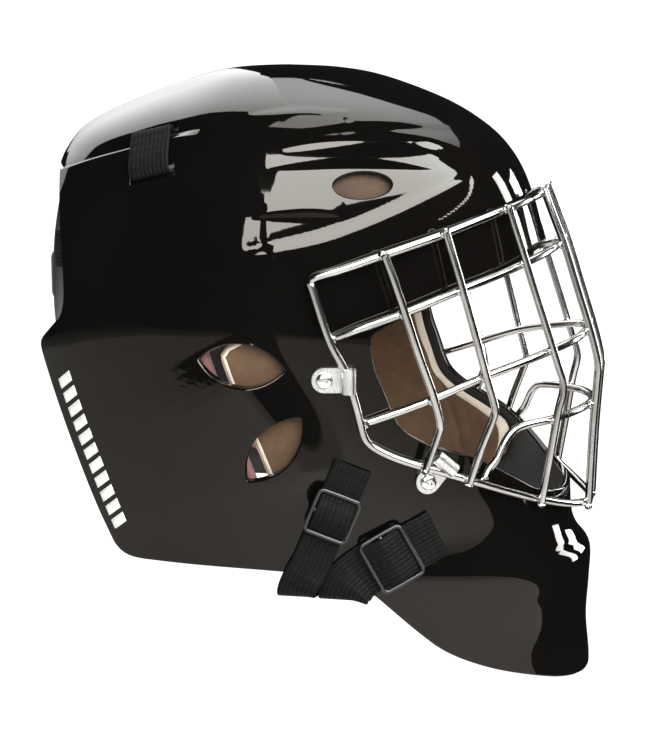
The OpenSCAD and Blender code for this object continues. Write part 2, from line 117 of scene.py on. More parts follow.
def normal_of(fn, a, t, da=0.012, dt=0.03, pole=0.25):
    """Outward normal of a surface by differences; above the station called pole it is taken there."""
    a, t = np.asarray(a, float), np.maximum(np.asarray(t, float), pole)
    down = fn(a, np.minimum(t + dt, LAST)) - fn(a, t - dt)
    return unit(np.cross(down, fn(a + da, t) - fn(a - da, t)))


def skin_normal(a, t):
    return normal_of(skin, a, t)


def polygon_distance(p, poly):
    """Signed distance of points p (N, 2) from a polygon, negative inside."""
    best = np.full(len(p), 1e9)
    inside = np.zeros(len(p), bool)
    for (x0, y0), (x1, y1) in zip(poly, np.roll(poly, -1, axis=0)):
        d = np.array([x1 - x0, y1 - y0])
        w = p - (x0, y0)
        k = np.clip(w @ d / max(d @ d, 1e-9), 0, 1)
        best = np.minimum(best, np.linalg.norm(w - k[:, None] * d, axis=1))
        if y1 != y0:
            spans = (p[:, 1] >= y0) != (p[:, 1] >= y1)
            inside ^= spans & (p[:, 0] < (x1 - x0) * (p[:, 1] - y0) / (y1 - y0) + x0)
    return np.where(inside, -best, best)


def line_distance(p, line):
    """Signed distance from an open line, positive on the left of its direction, and the run along it."""
    best = np.full(len(p), 1e9)
    side = np.zeros(len(p))
    along = np.zeros(len(p))
    run = 0.0
    for (x0, y0), (x1, y1) in zip(line[:-1], line[1:]):
        d = np.array([x1 - x0, y1 - y0])
        w = p - (x0, y0)
        k = np.clip(w @ d / (d @ d), 0, 1)
        dist = np.linalg.norm(w - k[:, None] * d, axis=1)
        nearer = dist < best
        best = np.where(nearer, dist, best)
        side = np.where(nearer, np.sign(d[0] * w[:, 1] - d[1] * w[:, 0]), side)
        along = np.where(nearer, run + k * np.hypot(*d), along)
        run += np.hypot(*d)
    return best * side, along


def rounded(poly, keep=()):
    """Corners cut twice, apart from the corners at the indices in keep."""
    pts = [(np.array(p, float), i in keep) for i, p in enumerate(poly)]
    for _ in range(2):
        out = []
        for i, (p, sharp) in enumerate(pts):
            a, b = pts[i - 1][0], pts[(i + 1) % len(pts)][0]
            if sharp:
                out.append((p, True))
            else:
                out += [(0.75 * p + 0.25 * a, False), (0.75 * p + 0.25 * b, False)]
        pts = out
    return np.array([p for p, _ in pts])


# Side view (x, z) of the shell's edge and of its face opening
OUTLINE = rounded([
    [-150, 86], [-150, 150], [180, 150], [180, -176], [160, -175.5], [151, -173], [138, -168],
    [115, -160], [95, -150], [82, -138], [72, -128], [60, -116], [50, -111], [40, -108.5],
    [18, -106], [-42, -104.5], [-59, -104.5], [-66, -101.5], [-71, -95], [-103, -13], [-108, -0.5],
    [-107.5, 3], [-100.5, 10], [-92.5, 18], [-94.5, 40], [-98.5, 62], [-102, 80], [-103, 86]],
    keep=(0, 1, 2, 3, 4))
FACE = rounded([
    [61, 12], [60.5, 4], [63, -7], [68, -19], [72, -30], [75, -35], [80, -39], [89, -44],
    [108, -51], [123, -61], [142, -77], [200, -90], [200, 70], [134, 46], [127.5, 39.5], [100, 28.5]],
    keep=(11, 12))
# Ear holes: middle x and z, half length, half height, tilt in degrees. Vent: middle x and z, half sizes
EAR_HOLES = ((0.5, -3.5, 20.5, 10, -6), (15.5, -44, 20.5, 9.5, 50))
VENT = (55, 81, 12.2, 6)


def smooth_step(v):
    v = np.clip(v, 0, 1)
    return v * v * (3 - 2 * v)


def lens(p, x, z, half_length, half_height, tilt):
    """Distance from a lens-shaped hole, negative inside."""
    r = (half_length ** 2 + half_height ** 2) / (2 * half_height)
    c, s = math.cos(math.radians(tilt)), math.sin(math.radians(tilt))
    u = (p[:, 0] - x) * c + (p[:, 1] - z) * s
    v = (p[:, 1] - z) * c - (p[:, 0] - x) * s
    return np.maximum(np.hypot(u, v - (r - half_height)), np.hypot(u, v + (r - half_height))) - r


# ---------------------------------------------------------------- places on the shell
def place(x, z):
    """Angle and station on the right side that shows at x, z in the side view."""
    lo, hi = 0.0, float(LAST)
    for _ in range(30):
        m = (lo + hi) / 2
        lo, hi = (m, hi) if station(m)[0] > z else (lo, m)
    s = station((lo + hi) / 2)
    reach = s[1] - s[3] if x > s[3] else s[3] - s[2]
    return -math.acos(float(power((x - s[3]) / reach, s[5] / 2))), (lo + hi) / 2


def axes_at(a, t, turn=0.0):
    """Matrix in millimetres: +Z outward, +X down and +Y forward before the turn."""
    n = skin_normal(a, t)
    base = Matrix.Rotation(math.atan2(n[1], n[0]), 4, "Z") @ Matrix.Rotation(math.acos(n[2]), 4, "Y")
    return Matrix.Translation(skin(a, t)) @ base @ Matrix.Rotation(math.radians(turn), 4, "Z")


# The crown strap shows between two slots in the shell
TAB_TOP, TAB_LOW = place(-48.5, 104), place(-45.5, 85.5)
TAB_LIFT = 1.6
TAB_SLOT = (2.5, 11.2)


def on_shell(spot, lift):
    return skin(*spot) + lift * skin_normal(*spot)


TAB_GO = unit(on_shell(TAB_LOW, TAB_LIFT) - on_shell(TAB_TOP, TAB_LIFT))
TAB_BOXES = []
for spot in (TAB_TOP, TAB_LOW):
    n = skin_normal(*spot)
    TAB_BOXES.append((skin(*spot), TAB_GO, unit(np.cross(TAB_GO, n)), n))


def holes(p):
    """Above zero where the shell is cut away."""
    q = p[:, [0, 2]]
    f = polygon_distance(q, OUTLINE)
    f = np.maximum(f, -polygon_distance(q, FACE))
    for hole in EAR_HOLES:
        f = np.maximum(f, -lens(q, *hole))
    x, z, long, high = VENT
    f = np.maximum(f, -(np.hypot((q[:, 0] - x) / long, (q[:, 1] - z) / high) - 1) * high)
    for at, u, v, n in TAB_BOXES:
        for side in (p, p * (1, -1, 1)):
            w = side - at
            gap = np.maximum(np.abs(w @ u) - TAB_SLOT[0], np.abs(w @ v) - TAB_SLOT[1])
            f = np.maximum(f, -np.where(np.abs(w @ n) < 12, gap, 9))
    return f


# ---------------------------------------------------------------- relief of the outer face
LEDGE = [[-130, 78], [-103, 85.3], [-80, 91.8], [-61.6, 96.6], [-38, 103], [-22, 105.6], [0, 107]]
PANEL_REAR = [[-1, 112], [5, 107.3], [6.5, 102], [0.6, 88.1], [9.4, 70.7], [10.5, 56.4], [15, 48.5],
              [20.4, 42]]
PANEL_FRONT = [[101, 90], [102.8, 81.5], [101.5, 74], [95, 67.6], [86, 62]]
CHEEK = [[3, 13], [7, 3], [11.5, -6], [20, -18.5], [28.5, -31], [34.5, -43], [38.5, -55], [41.5, -70]]
# Narrow terraces of the brow panel: line, half width in its middle, and rise (+) or fall (-) to its left
TERRACES = [
    ([[17, 97], [38.7, 100.3], [61, 101.5], [83, 99.5], [106, 91]], 3.2, 0.95),
    ([[11, 88.3], [32.7, 90.3], [48.5, 90.9], [66.5, 90], [86, 87.6]], 3.1, -0.95),
    ([[4, 66.4], [22.6, 67.5], [32.7, 67.8], [46, 66.9]], 3.4, 1.0),
    ([[2, 50], [36.6, 57.5], [63.4, 67.3], [85, 77.5], [104, 87]], 4.2, -1.55),
    ([[-2, 113.5], [12.2, 115.3], [26.1, 116], [44, 114.8]], 2.6, -0.8),
    ([[-2, 107.2], [23.7, 105.2], [41.6, 107.2], [68.2, 108], [104, 104]], 2.2, 0.6),
    ([[18, 129.6], [46.1, 123.5], [66.7, 117.3], [84.2, 111.8], [104, 104.4]], 1.5, -0.5)]
LEDGE_DROP, PART_LINE_RISE, CHEEK_DROP = 2.5, 0.4, 5.4


def eased(line):
    """The line through the same points without its corners."""
    p = np.array(line, float)
    p = np.vstack([2 * p[0] - p[1], p, 2 * p[-1] - p[-2]])
    out = [spline(*p[i - 1:i + 3], k / 3) for i in range(1, len(p) - 2) for k in range(3)]
    return np.array(out + [p[-2]])


LEDGE, PANEL_REAR, PANEL_FRONT, CHEEK = (eased(v) for v in (LEDGE, PANEL_REAR, PANEL_FRONT, CHEEK))
TERRACES = [(eased(v), w, rise) for v, w, rise in TERRACES]


def beside(q, line):
    """Signed distance from a relief line, and the share of its length."""
    d, along = line_distance(q, line)
    length = float(np.sum(np.linalg.norm(np.diff(line, axis=0), axis=1)))
    return d, np.clip(along / length, 0, 1)


def relief(p):
    """How far the moulded outside stands off the plain form, in millimetres."""
    q = p[:, [0, 2]]
    y = np.abs(p[:, 1])
    off_middle = smooth_step((y - 12) / 14)
    # the rear side panel stops at a ledge under the crown
    d, _ = beside(q, LEDGE)
    fade = smooth_step((-18 - q[:, 0]) / 30) * smooth_step((y - 18) / 25)
    tail = np.exp(-np.maximum(np.abs(d) - 1.6, 0) / 34)
    h = fade * LEDGE_DROP * (1 - 2 * np.clip(d / 3.2 + 0.5, 0, 1)) * tail
    # brow terraces: each a lens-shaped band that tips up or down
    for line, w, rise in TERRACES:
        d, share = beside(q, line)
        width = w * np.sqrt(np.sin(math.pi * share)) + 0.05
        step = (width / w) * (smooth_step(d / (2 * width) + 0.5) - 0.5)
        h += rise * step * np.exp(-np.abs(d) / 11) * off_middle
    # fine part line round the brow panel
    for line in (PANEL_REAR, PANEL_FRONT):
        d, share = beside(q, line)
        ends = smooth_step(share * 8) * smooth_step((1 - share) * 8)
        step = smooth_step(d / 2.4 + 0.5) - 0.5
        h += PART_LINE_RISE * ends * step * np.exp(-np.abs(d) / 6) * off_middle
    # the cheek drops away from the ear panel along a slanting band
    d, share = beside(q, CHEEK)
    ends = smooth_step(share * 4) * smooth_step((1 - share) * 5)
    return h + CHEEK_DROP * ends * (1 - smooth_step(d / 26 + 0.5)) * np.exp(-np.maximum(-d - 13, 0) / 24)


def moulded_skin(a, t):
    p = skin(a, t)
    shape = p.shape[:-1]
    h = relief(p.reshape(-1, 3)).reshape(shape)
    return p + h[..., None] * skin_normal(a, t)


# ---------------------------------------------------------------- mesh tools
def link(name, data):
    obj = bpy.data.objects.new(name, data)
    scene.collection.objects.link(obj)
    return obj


def make_object(name, verts, faces, normals=None, mats=(), face_mats=None, uvs=None):
    """Smooth mesh object from millimetres."""
    mesh = bpy.data.meshes.new(name)
    points = [tuple(v) for v in np.asarray(verts) * MM]
    mesh.from_pydata(points, [], [tuple(int(i) for i in f) for f in faces])
    mesh.validate()
    for m in mats:
        mesh.materials.append(m)
    if face_mats is not None and len(mesh.polygons) == len(face_mats):
        mesh.polygons.foreach_set("material_index", np.asarray(face_mats, np.int32))
    mesh.polygons.foreach_set("use_smooth", np.ones(len(mesh.polygons), bool))
    if uvs is not None:
        layer = mesh.uv_layers.new(name="UVMap")
        loops = np.empty(len(mesh.loops), np.int32)
        mesh.loops.foreach_get("vertex_index", loops)
        layer.data.foreach_set("uv", np.asarray(uvs, np.float32)[loops].ravel())
    if normals is not None:
        mesh.normals_split_custom_set_from_vertices([tuple(v) for v in unit(np.asarray(normals))])
    mesh.update()
    return link(name, mesh)


def object_from(bm, name, mat):
    """Object from a bmesh, which is used up."""
    mesh = bpy.data.meshes.new(name)
    bm.to_mesh(mesh)
    bm.free()
    mesh.materials.append(mat)
    return link(name, mesh)


def split_edges(obj, degrees):
    obj.modifiers.new("split", "EDGE_SPLIT").split_angle = math.radians(degrees)


def even_stations(low, high, step):
    """Stations whose rings are about step apart along the surface."""
    t = np.linspace(low, high, 1200)
    length = np.zeros(len(t))
    for a in (0.02, 1.2, 2.2, 3.1):
        seg = np.linalg.norm(np.diff(skin(np.full(len(t), a), t), axis=0), axis=1)
        length[1:] += np.cumsum(seg) / 4
    n = max(3, int(length[-1] / step))
    return np.interp(np.linspace(0, length[-1], n), length, t)


def clipped_grid(a_values, t_values, cut, closed, inset=0.0):
    """Quads of an angle/station grid where cut(points) < -inset, with the crossing cells trimmed to it."""
    na, nt = len(a_values), len(t_values)
    aa, tt = np.meshgrid(a_values, t_values, indexing="ij")
    value = cut(skin(aa, tt).reshape(-1, 3)).reshape(na, nt) + inset
    value[np.abs(value) < 1e-6] = -1e-6
    verts = [aa.ravel(), tt.ravel()]
    count = na * nt
    ident = np.arange(count).reshape(na, nt)
    keep = value < 0
    edges, extra_a, extra_t = {}, [], []

    def crossing(i0, j0, i1, j1, wrap0, wrap1):
        key = (min(ident[i0, j0], ident[i1, j1]), max(ident[i0, j0], ident[i1, j1]))
        if key not in edges:
            a0, a1 = a_values[i0] + wrap0, a_values[i1] + wrap1
            t0, t1 = t_values[j0], t_values[j1]
            f0, f1 = value[i0, j0], value[i1, j1]
            k = f0 / (f0 - f1)
            for _ in range(3):
                f = cut(skin(np.array([a0 + k * (a1 - a0)]), np.array([t0 + k * (t1 - t0)])))[0] + inset
                if abs(f) < 0.01:
                    break
                if (f < 0) == (f0 < 0):
                    k = k + (1 - k) * f / (f - f1)
                else:
                    k = k * f0 / (f0 - f)
            edges[key] = count + len(extra_a)
            extra_a.append(a0 + k * (a1 - a0))
            extra_t.append(t0 + k * (t1 - t0))
        return edges[key]

    faces = []
    cells = na if closed else na - 1
    for i in range(cells):
        n = (i + 1) % na
        wrap = 2 * math.pi if n == 0 else 0.0
        inside = keep[i, :-1].astype(int) + keep[n, :-1] + keep[i, 1:] + keep[n, 1:]
        for j in np.nonzero(inside)[0]:
            if inside[j] == 4:
                faces.append((ident[i, j], ident[i, j + 1], ident[n, j + 1], ident[n, j]))
                continue
            corners = [(i, j, 0.0), (i, j + 1, 0.0), (n, j + 1, wrap), (n, j, wrap)]
            poly = []
            for k in range(4):
                (i0, j0, w0), (i1, j1, w1) = corners[k], corners[(k + 1) % 4]
                if keep[i0, j0]:
                    poly.append(ident[i0, j0])
                if keep[i0, j0] != keep[i1, j1]:
                    poly.append(crossing(i0, j0, i1, j1, w0, w1))
            if len(poly) > 2:
                faces.append(tuple(poly))
    a_all = np.concatenate([verts[0], extra_a])
    t_all = np.concatenate([verts[1], extra_t])
    used = np.unique(np.concatenate([np.array(f) for f in faces]))
    renumber = np.full(len(a_all), -1)
    renumber[used] = np.arange(len(used))
    return a_all[used], t_all[used], [tuple(renumber[list(f)]) for f in faces]


def rim_edges(faces):
    """Directed edges that only one face uses."""
    seen = {}
    for f in faces:
        for u, v in zip(f, f[1:] + f[:1]):
            if (v, u) in seen:
                del seen[(v, u)]
            else:
                seen[(u, v)] = True
    return list(seen)


def close_pole(a, t, faces):
    """Cap the small ring round the highest point of the crown."""
    first = t.min() + 1e-6
    ring = [(u, v) for u, v in rim_edges(faces) if t[u] < first and t[v] < first]
    return np.append(a, 0.0), np.append(t, 0.03), list(faces) + [(v, u, len(a)) for u, v in ring]


def join_skins(name, skins, normals, faces, cut, profile, mats, face_mats, margin=None, mirror=False):
    """Two skins joined round their rim by a lip.

    profile: (share of the thickness, outward bulge in mm, tilt of the normal) for each row of the lip.
    face_mats: material of the outer skin, the inner skin and the lip.
    margin: the lip is first moved onto the line that lies this far inside the outline.
    """
    top, bottom = skins
    n = len(top)
    rim = rim_edges(faces)
    on_rim = np.array(sorted({v for e in rim for v in e}))
    slot = {v: k for k, v in enumerate(on_rim)}
    p, n_rim = top[on_rim], normals[0][on_rim]
    grad = np.stack([cut(p + d) - cut(p - d) for d in np.eye(3) * 0.15], -1)
    out = unit(grad - np.sum(grad * n_rim, axis=1, keepdims=True) * n_rim)
    snap = 0.0 if margin is None else -cut(p)[:, None] - margin
    verts, norms, rows, base = [top, bottom], list(normals), [on_rim], 2 * n
    for share, bulge, tilt in profile:
        verts.append(p + (bottom[on_rim] - p) * share + out * (bulge + snap))
        norms.append(n_rim * math.cos(tilt) + out * math.sin(tilt))
        rows.append(np.arange(base, base + len(on_rim)))
        base += len(on_rim)
    rows.append(on_rim + n)
    all_faces = [tuple(f) for f in faces] + [tuple(v + n for v in reversed(f)) for f in faces]
    ids = [face_mats[0]] * len(faces) + [face_mats[1]] * len(faces)
    for u, v in rim:
        ku, kv = slot[u], slot[v]
        for r0, r1 in zip(rows, rows[1:]):
            all_faces.append((r0[kv], r0[ku], r1[ku], r1[kv]))
            ids.append(face_mats[2])
    verts, norms = np.vstack(verts), np.vstack(norms)
    if mirror:
        verts, norms = verts * (1, -1, 1), norms * (1, -1, 1)
        all_faces = [tuple(reversed(f)) for f in all_faces]
    return make_object(name, verts, all_faces, norms, mats, ids)


def plate(name, a, t, faces, outer, inner, cut, profile, mats, face_mats, mirror=False):
    """Wall between two surfaces given by angle and station."""
    return join_skins(name, (outer(a, t), inner(a, t)), (normal_of(outer, a, t), -normal_of(inner, a, t)),
                      faces, cut, profile, mats, face_mats, mirror=mirror)


def catmull(points, n, closed=False):
    """n points for each stretch of the smooth curve through the points."""
    p = np.asarray(points, float)
    m = len(p)
    out = []
    for i in range(m if closed else m - 1):
        if closed:
            near = p[i - 1], p[i], p[(i + 1) % m], p[(i + 2) % m]
        else:
            near = p[max(i - 1, 0)], p[i], p[i + 1], p[min(i + 2, m - 1)]
        out += [spline(*near, k / n) for k in range(n)]
    return np.array(out if closed else out + [p[-1]])


def direction(path, i, closed=False):
    """Unit tangent of a path at one of its points."""
    n = len(path)
    if closed:
        return unit(path[(i + 1) % n] - path[i - 1])
    return unit(path[min(i + 1, n - 1)] - path[max(i - 1, 0)])


def side_walls(rings, k, closed=False):
    """Quads between rings of k points each."""
    faces = []
    for i in range(rings if closed else rings - 1):
        for j in range(k):
            p, q, m = i * k, ((i + 1) % rings) * k, (j + 1) % k
            faces.append((p + j, q + j, q + m, p + m))
    return faces


def circle(r, sides):
    angles = [2 * math.pi * k / sides for k in range(sides)]
    return [(r * math.cos(g), r * math.sin(g)) for g in angles]


def tube(name, path, r, mat, closed=False, sides=14):
    """Round wire along a path; an open one has domed ends."""
    verts = []
    for i, at in enumerate(path):
        go = direction(path, i, closed)
        away = at - np.array((30, 0, -10), float)
        u = unit(away - (away @ go) * go)
        v = np.cross(go, u)
        verts += [at + x * u + y * v for x, y in circle(r, sides)]
    faces = side_walls(len(path), sides, closed)
    ends = () if closed else ((0, 1, True), (len(path) - 1, len(path) - 2, False))
    for end, inner, first in ends:
        go = unit(path[end] - path[inner])
        ring = list(range(end * sides, end * sides + sides))
        last = ring
        for share in (0.6, 0.92):
            new = []
            for v in ring:
                off = verts[v] - path[end]
                verts.append(path[end] + off * math.sqrt(1 - share ** 2) + go * r * 0.6 * share)
                new.append(len(verts) - 1)
            for j in range(sides):
                m = (j + 1) % sides
                quad = (last[j], last[m], new[m], new[j])
                faces.append(quad[::-1] if first else quad)
            last = new
        faces.append(tuple(reversed(last)) if first else tuple(last))
    return make_object(name, verts, faces, None, [mat])


# ---------------------------------------------------------------- materials
def material(name, base, rough, metallic=0.0, sheen=0.0, ior=1.5, specular=0.5):
    m = bpy.data.materials.new(name)
    m.use_nodes = True
    b = m.node_tree.nodes["Principled BSDF"]
    b.inputs["Base Color"].default_value = (*base, 1)
    b.inputs["Roughness"].default_value = rough
    b.inputs["Metallic"].default_value = metallic
    b.inputs["Sheen Weight"].default_value = sheen
    b.inputs["IOR"].default_value = ior
    b.inputs["Specular IOR Level"].default_value = specular
    return m


class Nodes:
    """Short ways to add nodes to one material."""

    def __init__(self, mat):
        self.tree = mat.node_tree
        self.bsdf = self.tree.nodes["Principled BSDF"]

    def add(self, kind, **props):
        n = self.tree.nodes.new("ShaderNode" + kind)
        for k, v in props.items():
            setattr(n, k, v)
        return n

    def link(self, a, b):
        self.tree.links.new(a, b)

    def coords(self, which="Object", scale=(1, 1, 1)):
        m = self.add("Mapping")
        m.inputs["Scale"].default_value = scale
        self.link(self.add("TexCoord").outputs[which], m.inputs["Vector"])
        return m.outputs["Vector"]

    def noise(self, vector, scale, detail=3.0, rough=0.5):
        n = self.add("TexNoise")
        n.inputs["Scale"].default_value = scale
        n.inputs["Detail"].default_value = detail
        n.inputs["Roughness"].default_value = rough
        self.link(vector, n.inputs["Vector"])
        return n.outputs["Fac"]

    def wave(self, vector, scale, direction):
        n = self.add("TexWave", bands_direction=direction)
        n.inputs["Scale"].default_value = scale
        self.link(vector, n.inputs["Vector"])
        return n.outputs["Fac"]

    def ramp(self, value, stops):
        n = self.add("ValToRGB")
        while len(n.color_ramp.elements) < len(stops):
            n.color_ramp.elements.new(0.5)
        for e, (at, c) in zip(n.color_ramp.elements, stops):
            e.position, e.color = at, (*c, 1)
        self.link(value, n.inputs["Fac"])
        return n.outputs["Color"]

    def span(self, value, low, high):
        n = self.add("MapRange")
        n.inputs["To Min"].default_value = low
        n.inputs["To Max"].default_value = high
        self.link(value, n.inputs["Value"])
        return n.outputs["Result"]

    def math(self, kind, a, b):
        n = self.add("Math", operation=kind)
        for k, v in enumerate((a, b)):
            if isinstance(v, (int, float)):
                n.inputs[k].default_value = v
            else:
                self.link(v, n.inputs[k])
        return n.outputs[0]

    def mixed(self, a, share, b):
        """share of a with the rest from b."""
        rest = self.math("MULTIPLY", b, round(1 - share, 2))
        return self.math("ADD", self.math("MULTIPLY", a, share), rest)

    def bump(self, height, distance, strength):
        n = self.add("Bump")
        n.inputs["Distance"].default_value = distance
        n.inputs["Strength"].default_value = strength
        self.link(height, n.inputs["Height"])
        self.link(n.outputs["Normal"], self.bsdf.inputs["Normal"])

    def to(self, output, socket):
        self.link(output, self.bsdf.inputs[socket])


def gel_coat():
    """Black gel coat: deep gloss with faint orange peel, dust and handling haze."""
    m = material("gel_coat", (0.005, 0.0045, 0.004), 0.08, ior=1.38)
    n = Nodes(m)
    n.bsdf.inputs["Specular Tint"].default_value = (0.74, 0.69, 0.61, 1)
    at = n.coords()
    haze = n.noise(at, 9, 4, 0.6)
    fine = n.noise(at, 900, 2)
    n.to(n.ramp(haze, [(0.3, (0.0026, 0.0023, 0.002)), (0.75, (0.0048, 0.0042, 0.0036))]), "Base Color")
    n.to(n.span(n.mixed(haze, 0.7, fine), 0.015, 0.06), "Roughness")
    n.bump(n.noise(at, 210, 1), 0.00002, 0.6)
    return m


def inner_wall():
    """Unpainted inside of the shell: fibre weave under a satin resin."""
    m = material("inner_wall", (0.012, 0.0115, 0.011), 0.5)
    n = Nodes(m)
    at = n.coords()
    weave = n.math("MULTIPLY", n.wave(at, 300, "DIAGONAL"), n.wave(at, 300, "Z"))
    n.to(n.ramp(weave, [(0.2, (0.007, 0.0068, 0.0065)), (0.8, (0.018, 0.0175, 0.017))]), "Base Color")
    n.to(n.span(n.noise(at, 30), 0.38, 0.6), "Roughness")
    n.bump(weave, 0.00012, 0.5)
    return m


def polished_wire():
    m = material("polished_wire", (0.74, 0.725, 0.70), 0.14, metallic=1.0)
    n = Nodes(m)
    at = n.coords()
    draw = n.noise(n.coords(scale=(1, 1, 7)), 320, 3)
    stain = n.noise(at, 38, 3, 0.6)
    n.to(n.ramp(stain, [(0.32, (0.32, 0.308, 0.29)), (0.7, (0.50, 0.49, 0.47))]), "Base Color")
    n.to(n.span(draw, 0.09, 0.2), "Roughness")
    n.bump(draw, 0.00002, 0.4)
    return m


def spring_steel():
    m = material("spring_steel", (0.62, 0.61, 0.59), 0.26, metallic=1.0)
    n = Nodes(m)
    brushed = n.noise(n.coords(scale=(1, 12, 1)), 420, 3)
    tone = n.noise(n.coords(), 60, 3)
    n.to(n.ramp(tone, [(0.3, (0.5, 0.49, 0.475)), (0.75, (0.7, 0.69, 0.67))]), "Base Color")
    n.to(n.span(brushed, 0.18, 0.36), "Roughness")
    n.bump(brushed, 0.00003, 0.5)
    return m


def zinc():
    m = material("zinc", (0.66, 0.65, 0.63), 0.22, metallic=1.0)
    n = Nodes(m)
    tone = n.noise(n.coords(), 500, 3)
    n.to(n.ramp(tone, [(0.3, (0.5, 0.49, 0.47)), (0.7, (0.76, 0.75, 0.73))]), "Base Color")
    n.to(n.span(n.noise(n.coords(), 900, 2), 0.14, 0.32), "Roughness")
    return m


def suede(name, dark, light, nap=1400):
    """Short brushed pile with soft mottling."""
    m = material(name, light, 0.85, sheen=0.04, specular=0.2)
    n = Nodes(m)
    at = n.coords()
    mottle = n.noise(at, 55, 5, 0.65)
    pile = n.noise(at, nap, 3, 0.7)
    n.to(n.ramp(n.mixed(mottle, 0.65, pile), [(0.33, dark), (0.68, light)]), "Base Color")
    n.to(n.span(pile, 0.72, 0.95), "Roughness")
    n.bump(n.mixed(mottle, 0.6, pile), 0.0005, 0.6)
    return m


def cut_foam():
    """Cream cut edge of laminated foam: fine closed cells in layers."""
    m = material("cut_foam", (0.62, 0.53, 0.41), 0.8)
    n = Nodes(m)
    at = n.coords()
    cells = n.add("TexVoronoi")
    cells.inputs["Scale"].default_value = 900
    n.link(at, cells.inputs["Vector"])
    n.to(n.ramp(n.noise(at, 80, 4), [(0.3, (0.50, 0.42, 0.32)), (0.75, (0.70, 0.60, 0.48))]), "Base Color")
    n.bump(cells.outputs["Distance"], 0.0003, 0.5)
    return m


def nylon(name, dark, light):
    """Woven webbing: raised ribs along the strap crossed by weft, from its own strap coordinates."""
    m = material(name, light, 0.72, ior=1.3, specular=0.12)
    n = Nodes(m)
    at = n.coords("UV")
    warp = n.wave(at, 900 / 6.283, "Y")
    weft = n.wave(at, 450 / 6.283, "X")
    weave = n.math("MULTIPLY", warp, n.span(weft, 0.35, 1.0))
    wear = n.noise(at, 120, 4, 0.6)
    n.to(n.ramp(n.mixed(weave, 0.6, wear), [(0.2, dark), (0.8, light)]), "Base Color")
    n.to(n.span(weave, 0.75, 0.5), "Roughness")
    n.bump(weave, 0.00035, 0.8)
    return m


def satin_plastic(name, dark, light, low, high):
    m = material(name, light, high)
    n = Nodes(m)
    at = n.coords()
    grain = n.noise(at, 1500, 2)
    n.to(n.ramp(n.noise(at, 40, 4), [(0.3, dark), (0.75, light)]), "Base Color")
    n.to(n.span(n.noise(at, 120, 3), low, high), "Roughness")
    n.bump(grain, 0.00006, 0.5)
    return m


def print_ink():
    m = material("print_ink", (0.72, 0.71, 0.68), 0.3)
    n = Nodes(m)
    at = n.coords()
    tone = n.noise(at, 260, 4, 0.7)
    n.to(n.ramp(tone, [(0.3, (0.58, 0.57, 0.55)), (0.7, (0.80, 0.79, 0.76))]), "Base Color")
    n.to(n.span(n.noise(at, 90, 3), 0.22, 0.42), "Roughness")
    return m


GEL, INNER, WIRE, SPRING, ZINC = gel_coat(), inner_wall(), polished_wire(), spring_steel(), zinc()
TAN = suede("tan_suede", (0.07, 0.038, 0.0175), (0.128, 0.074, 0.038))
BROWN = suede("brown_pile", (0.05, 0.03, 0.0175), (0.1, 0.063, 0.039))
ROSE = suede("rose_pile", (0.15, 0.06, 0.055), (0.32, 0.15, 0.14))
TERRY = suede("terry", (0.34, 0.27, 0.2), (0.62, 0.54, 0.44), 700)
CREAM = cut_foam()
WEB = nylon("black_webbing", (0.0025, 0.0024, 0.0022), (0.0075, 0.007, 0.0066))
MATT = satin_plastic("buckle_plastic", (0.004, 0.004, 0.004), (0.009, 0.009, 0.0088), 0.22, 0.42)
PLATE = satin_plastic("plate_plastic", (0.006, 0.006, 0.0055), (0.013, 0.0125, 0.012), 0.25, 0.42)
GREY = satin_plastic("keeper_plastic", (0.03, 0.03, 0.028), (0.058, 0.058, 0.053), 0.3, 0.5)
CUP = suede("cup_skin", (0.006, 0.0058, 0.0055), (0.018, 0.0175, 0.017), 900)
INK = print_ink()

# ---------------------------------------------------------------- shell
# Rings lie 0.6 mm apart at the brow relief, and every second or third one is kept elsewhere
turns = np.linspace(-math.pi, math.pi, 441)[:-1]
rings = even_stations(0.12, 16.95, 0.6)
heights = np.array([station(t)[0] for t in rings])
keep = np.zeros(len(rings), bool)
last = -9.0
for k, z in enumerate(heights):
    want = 1 if 74 < z < 110 else 2 if 44 < z < 118 else 3
    if k - last >= want:
        keep[k] = True
        last = k
keep[[0, -1]] = True
rings = rings[keep]
sa, st, sf = close_pole(*clipped_grid(turns, rings, holes, True, 0.9))
lip = [(0.08, 0.55, 0.8), (0.22, 0.9, 1.57), (0.5, 0.9, 1.57), (0.78, 0.9, 1.57), (0.92, 0.55, 2.3)]
shell = plate("shell_skin", sa, st, sf, moulded_skin,
              lambda a, t: skin(a, t) - WALL * skin_normal(a, t), holes, lip, [GEL, INNER], (0, 1, 0))
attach(shell, "mask")
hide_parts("shell")

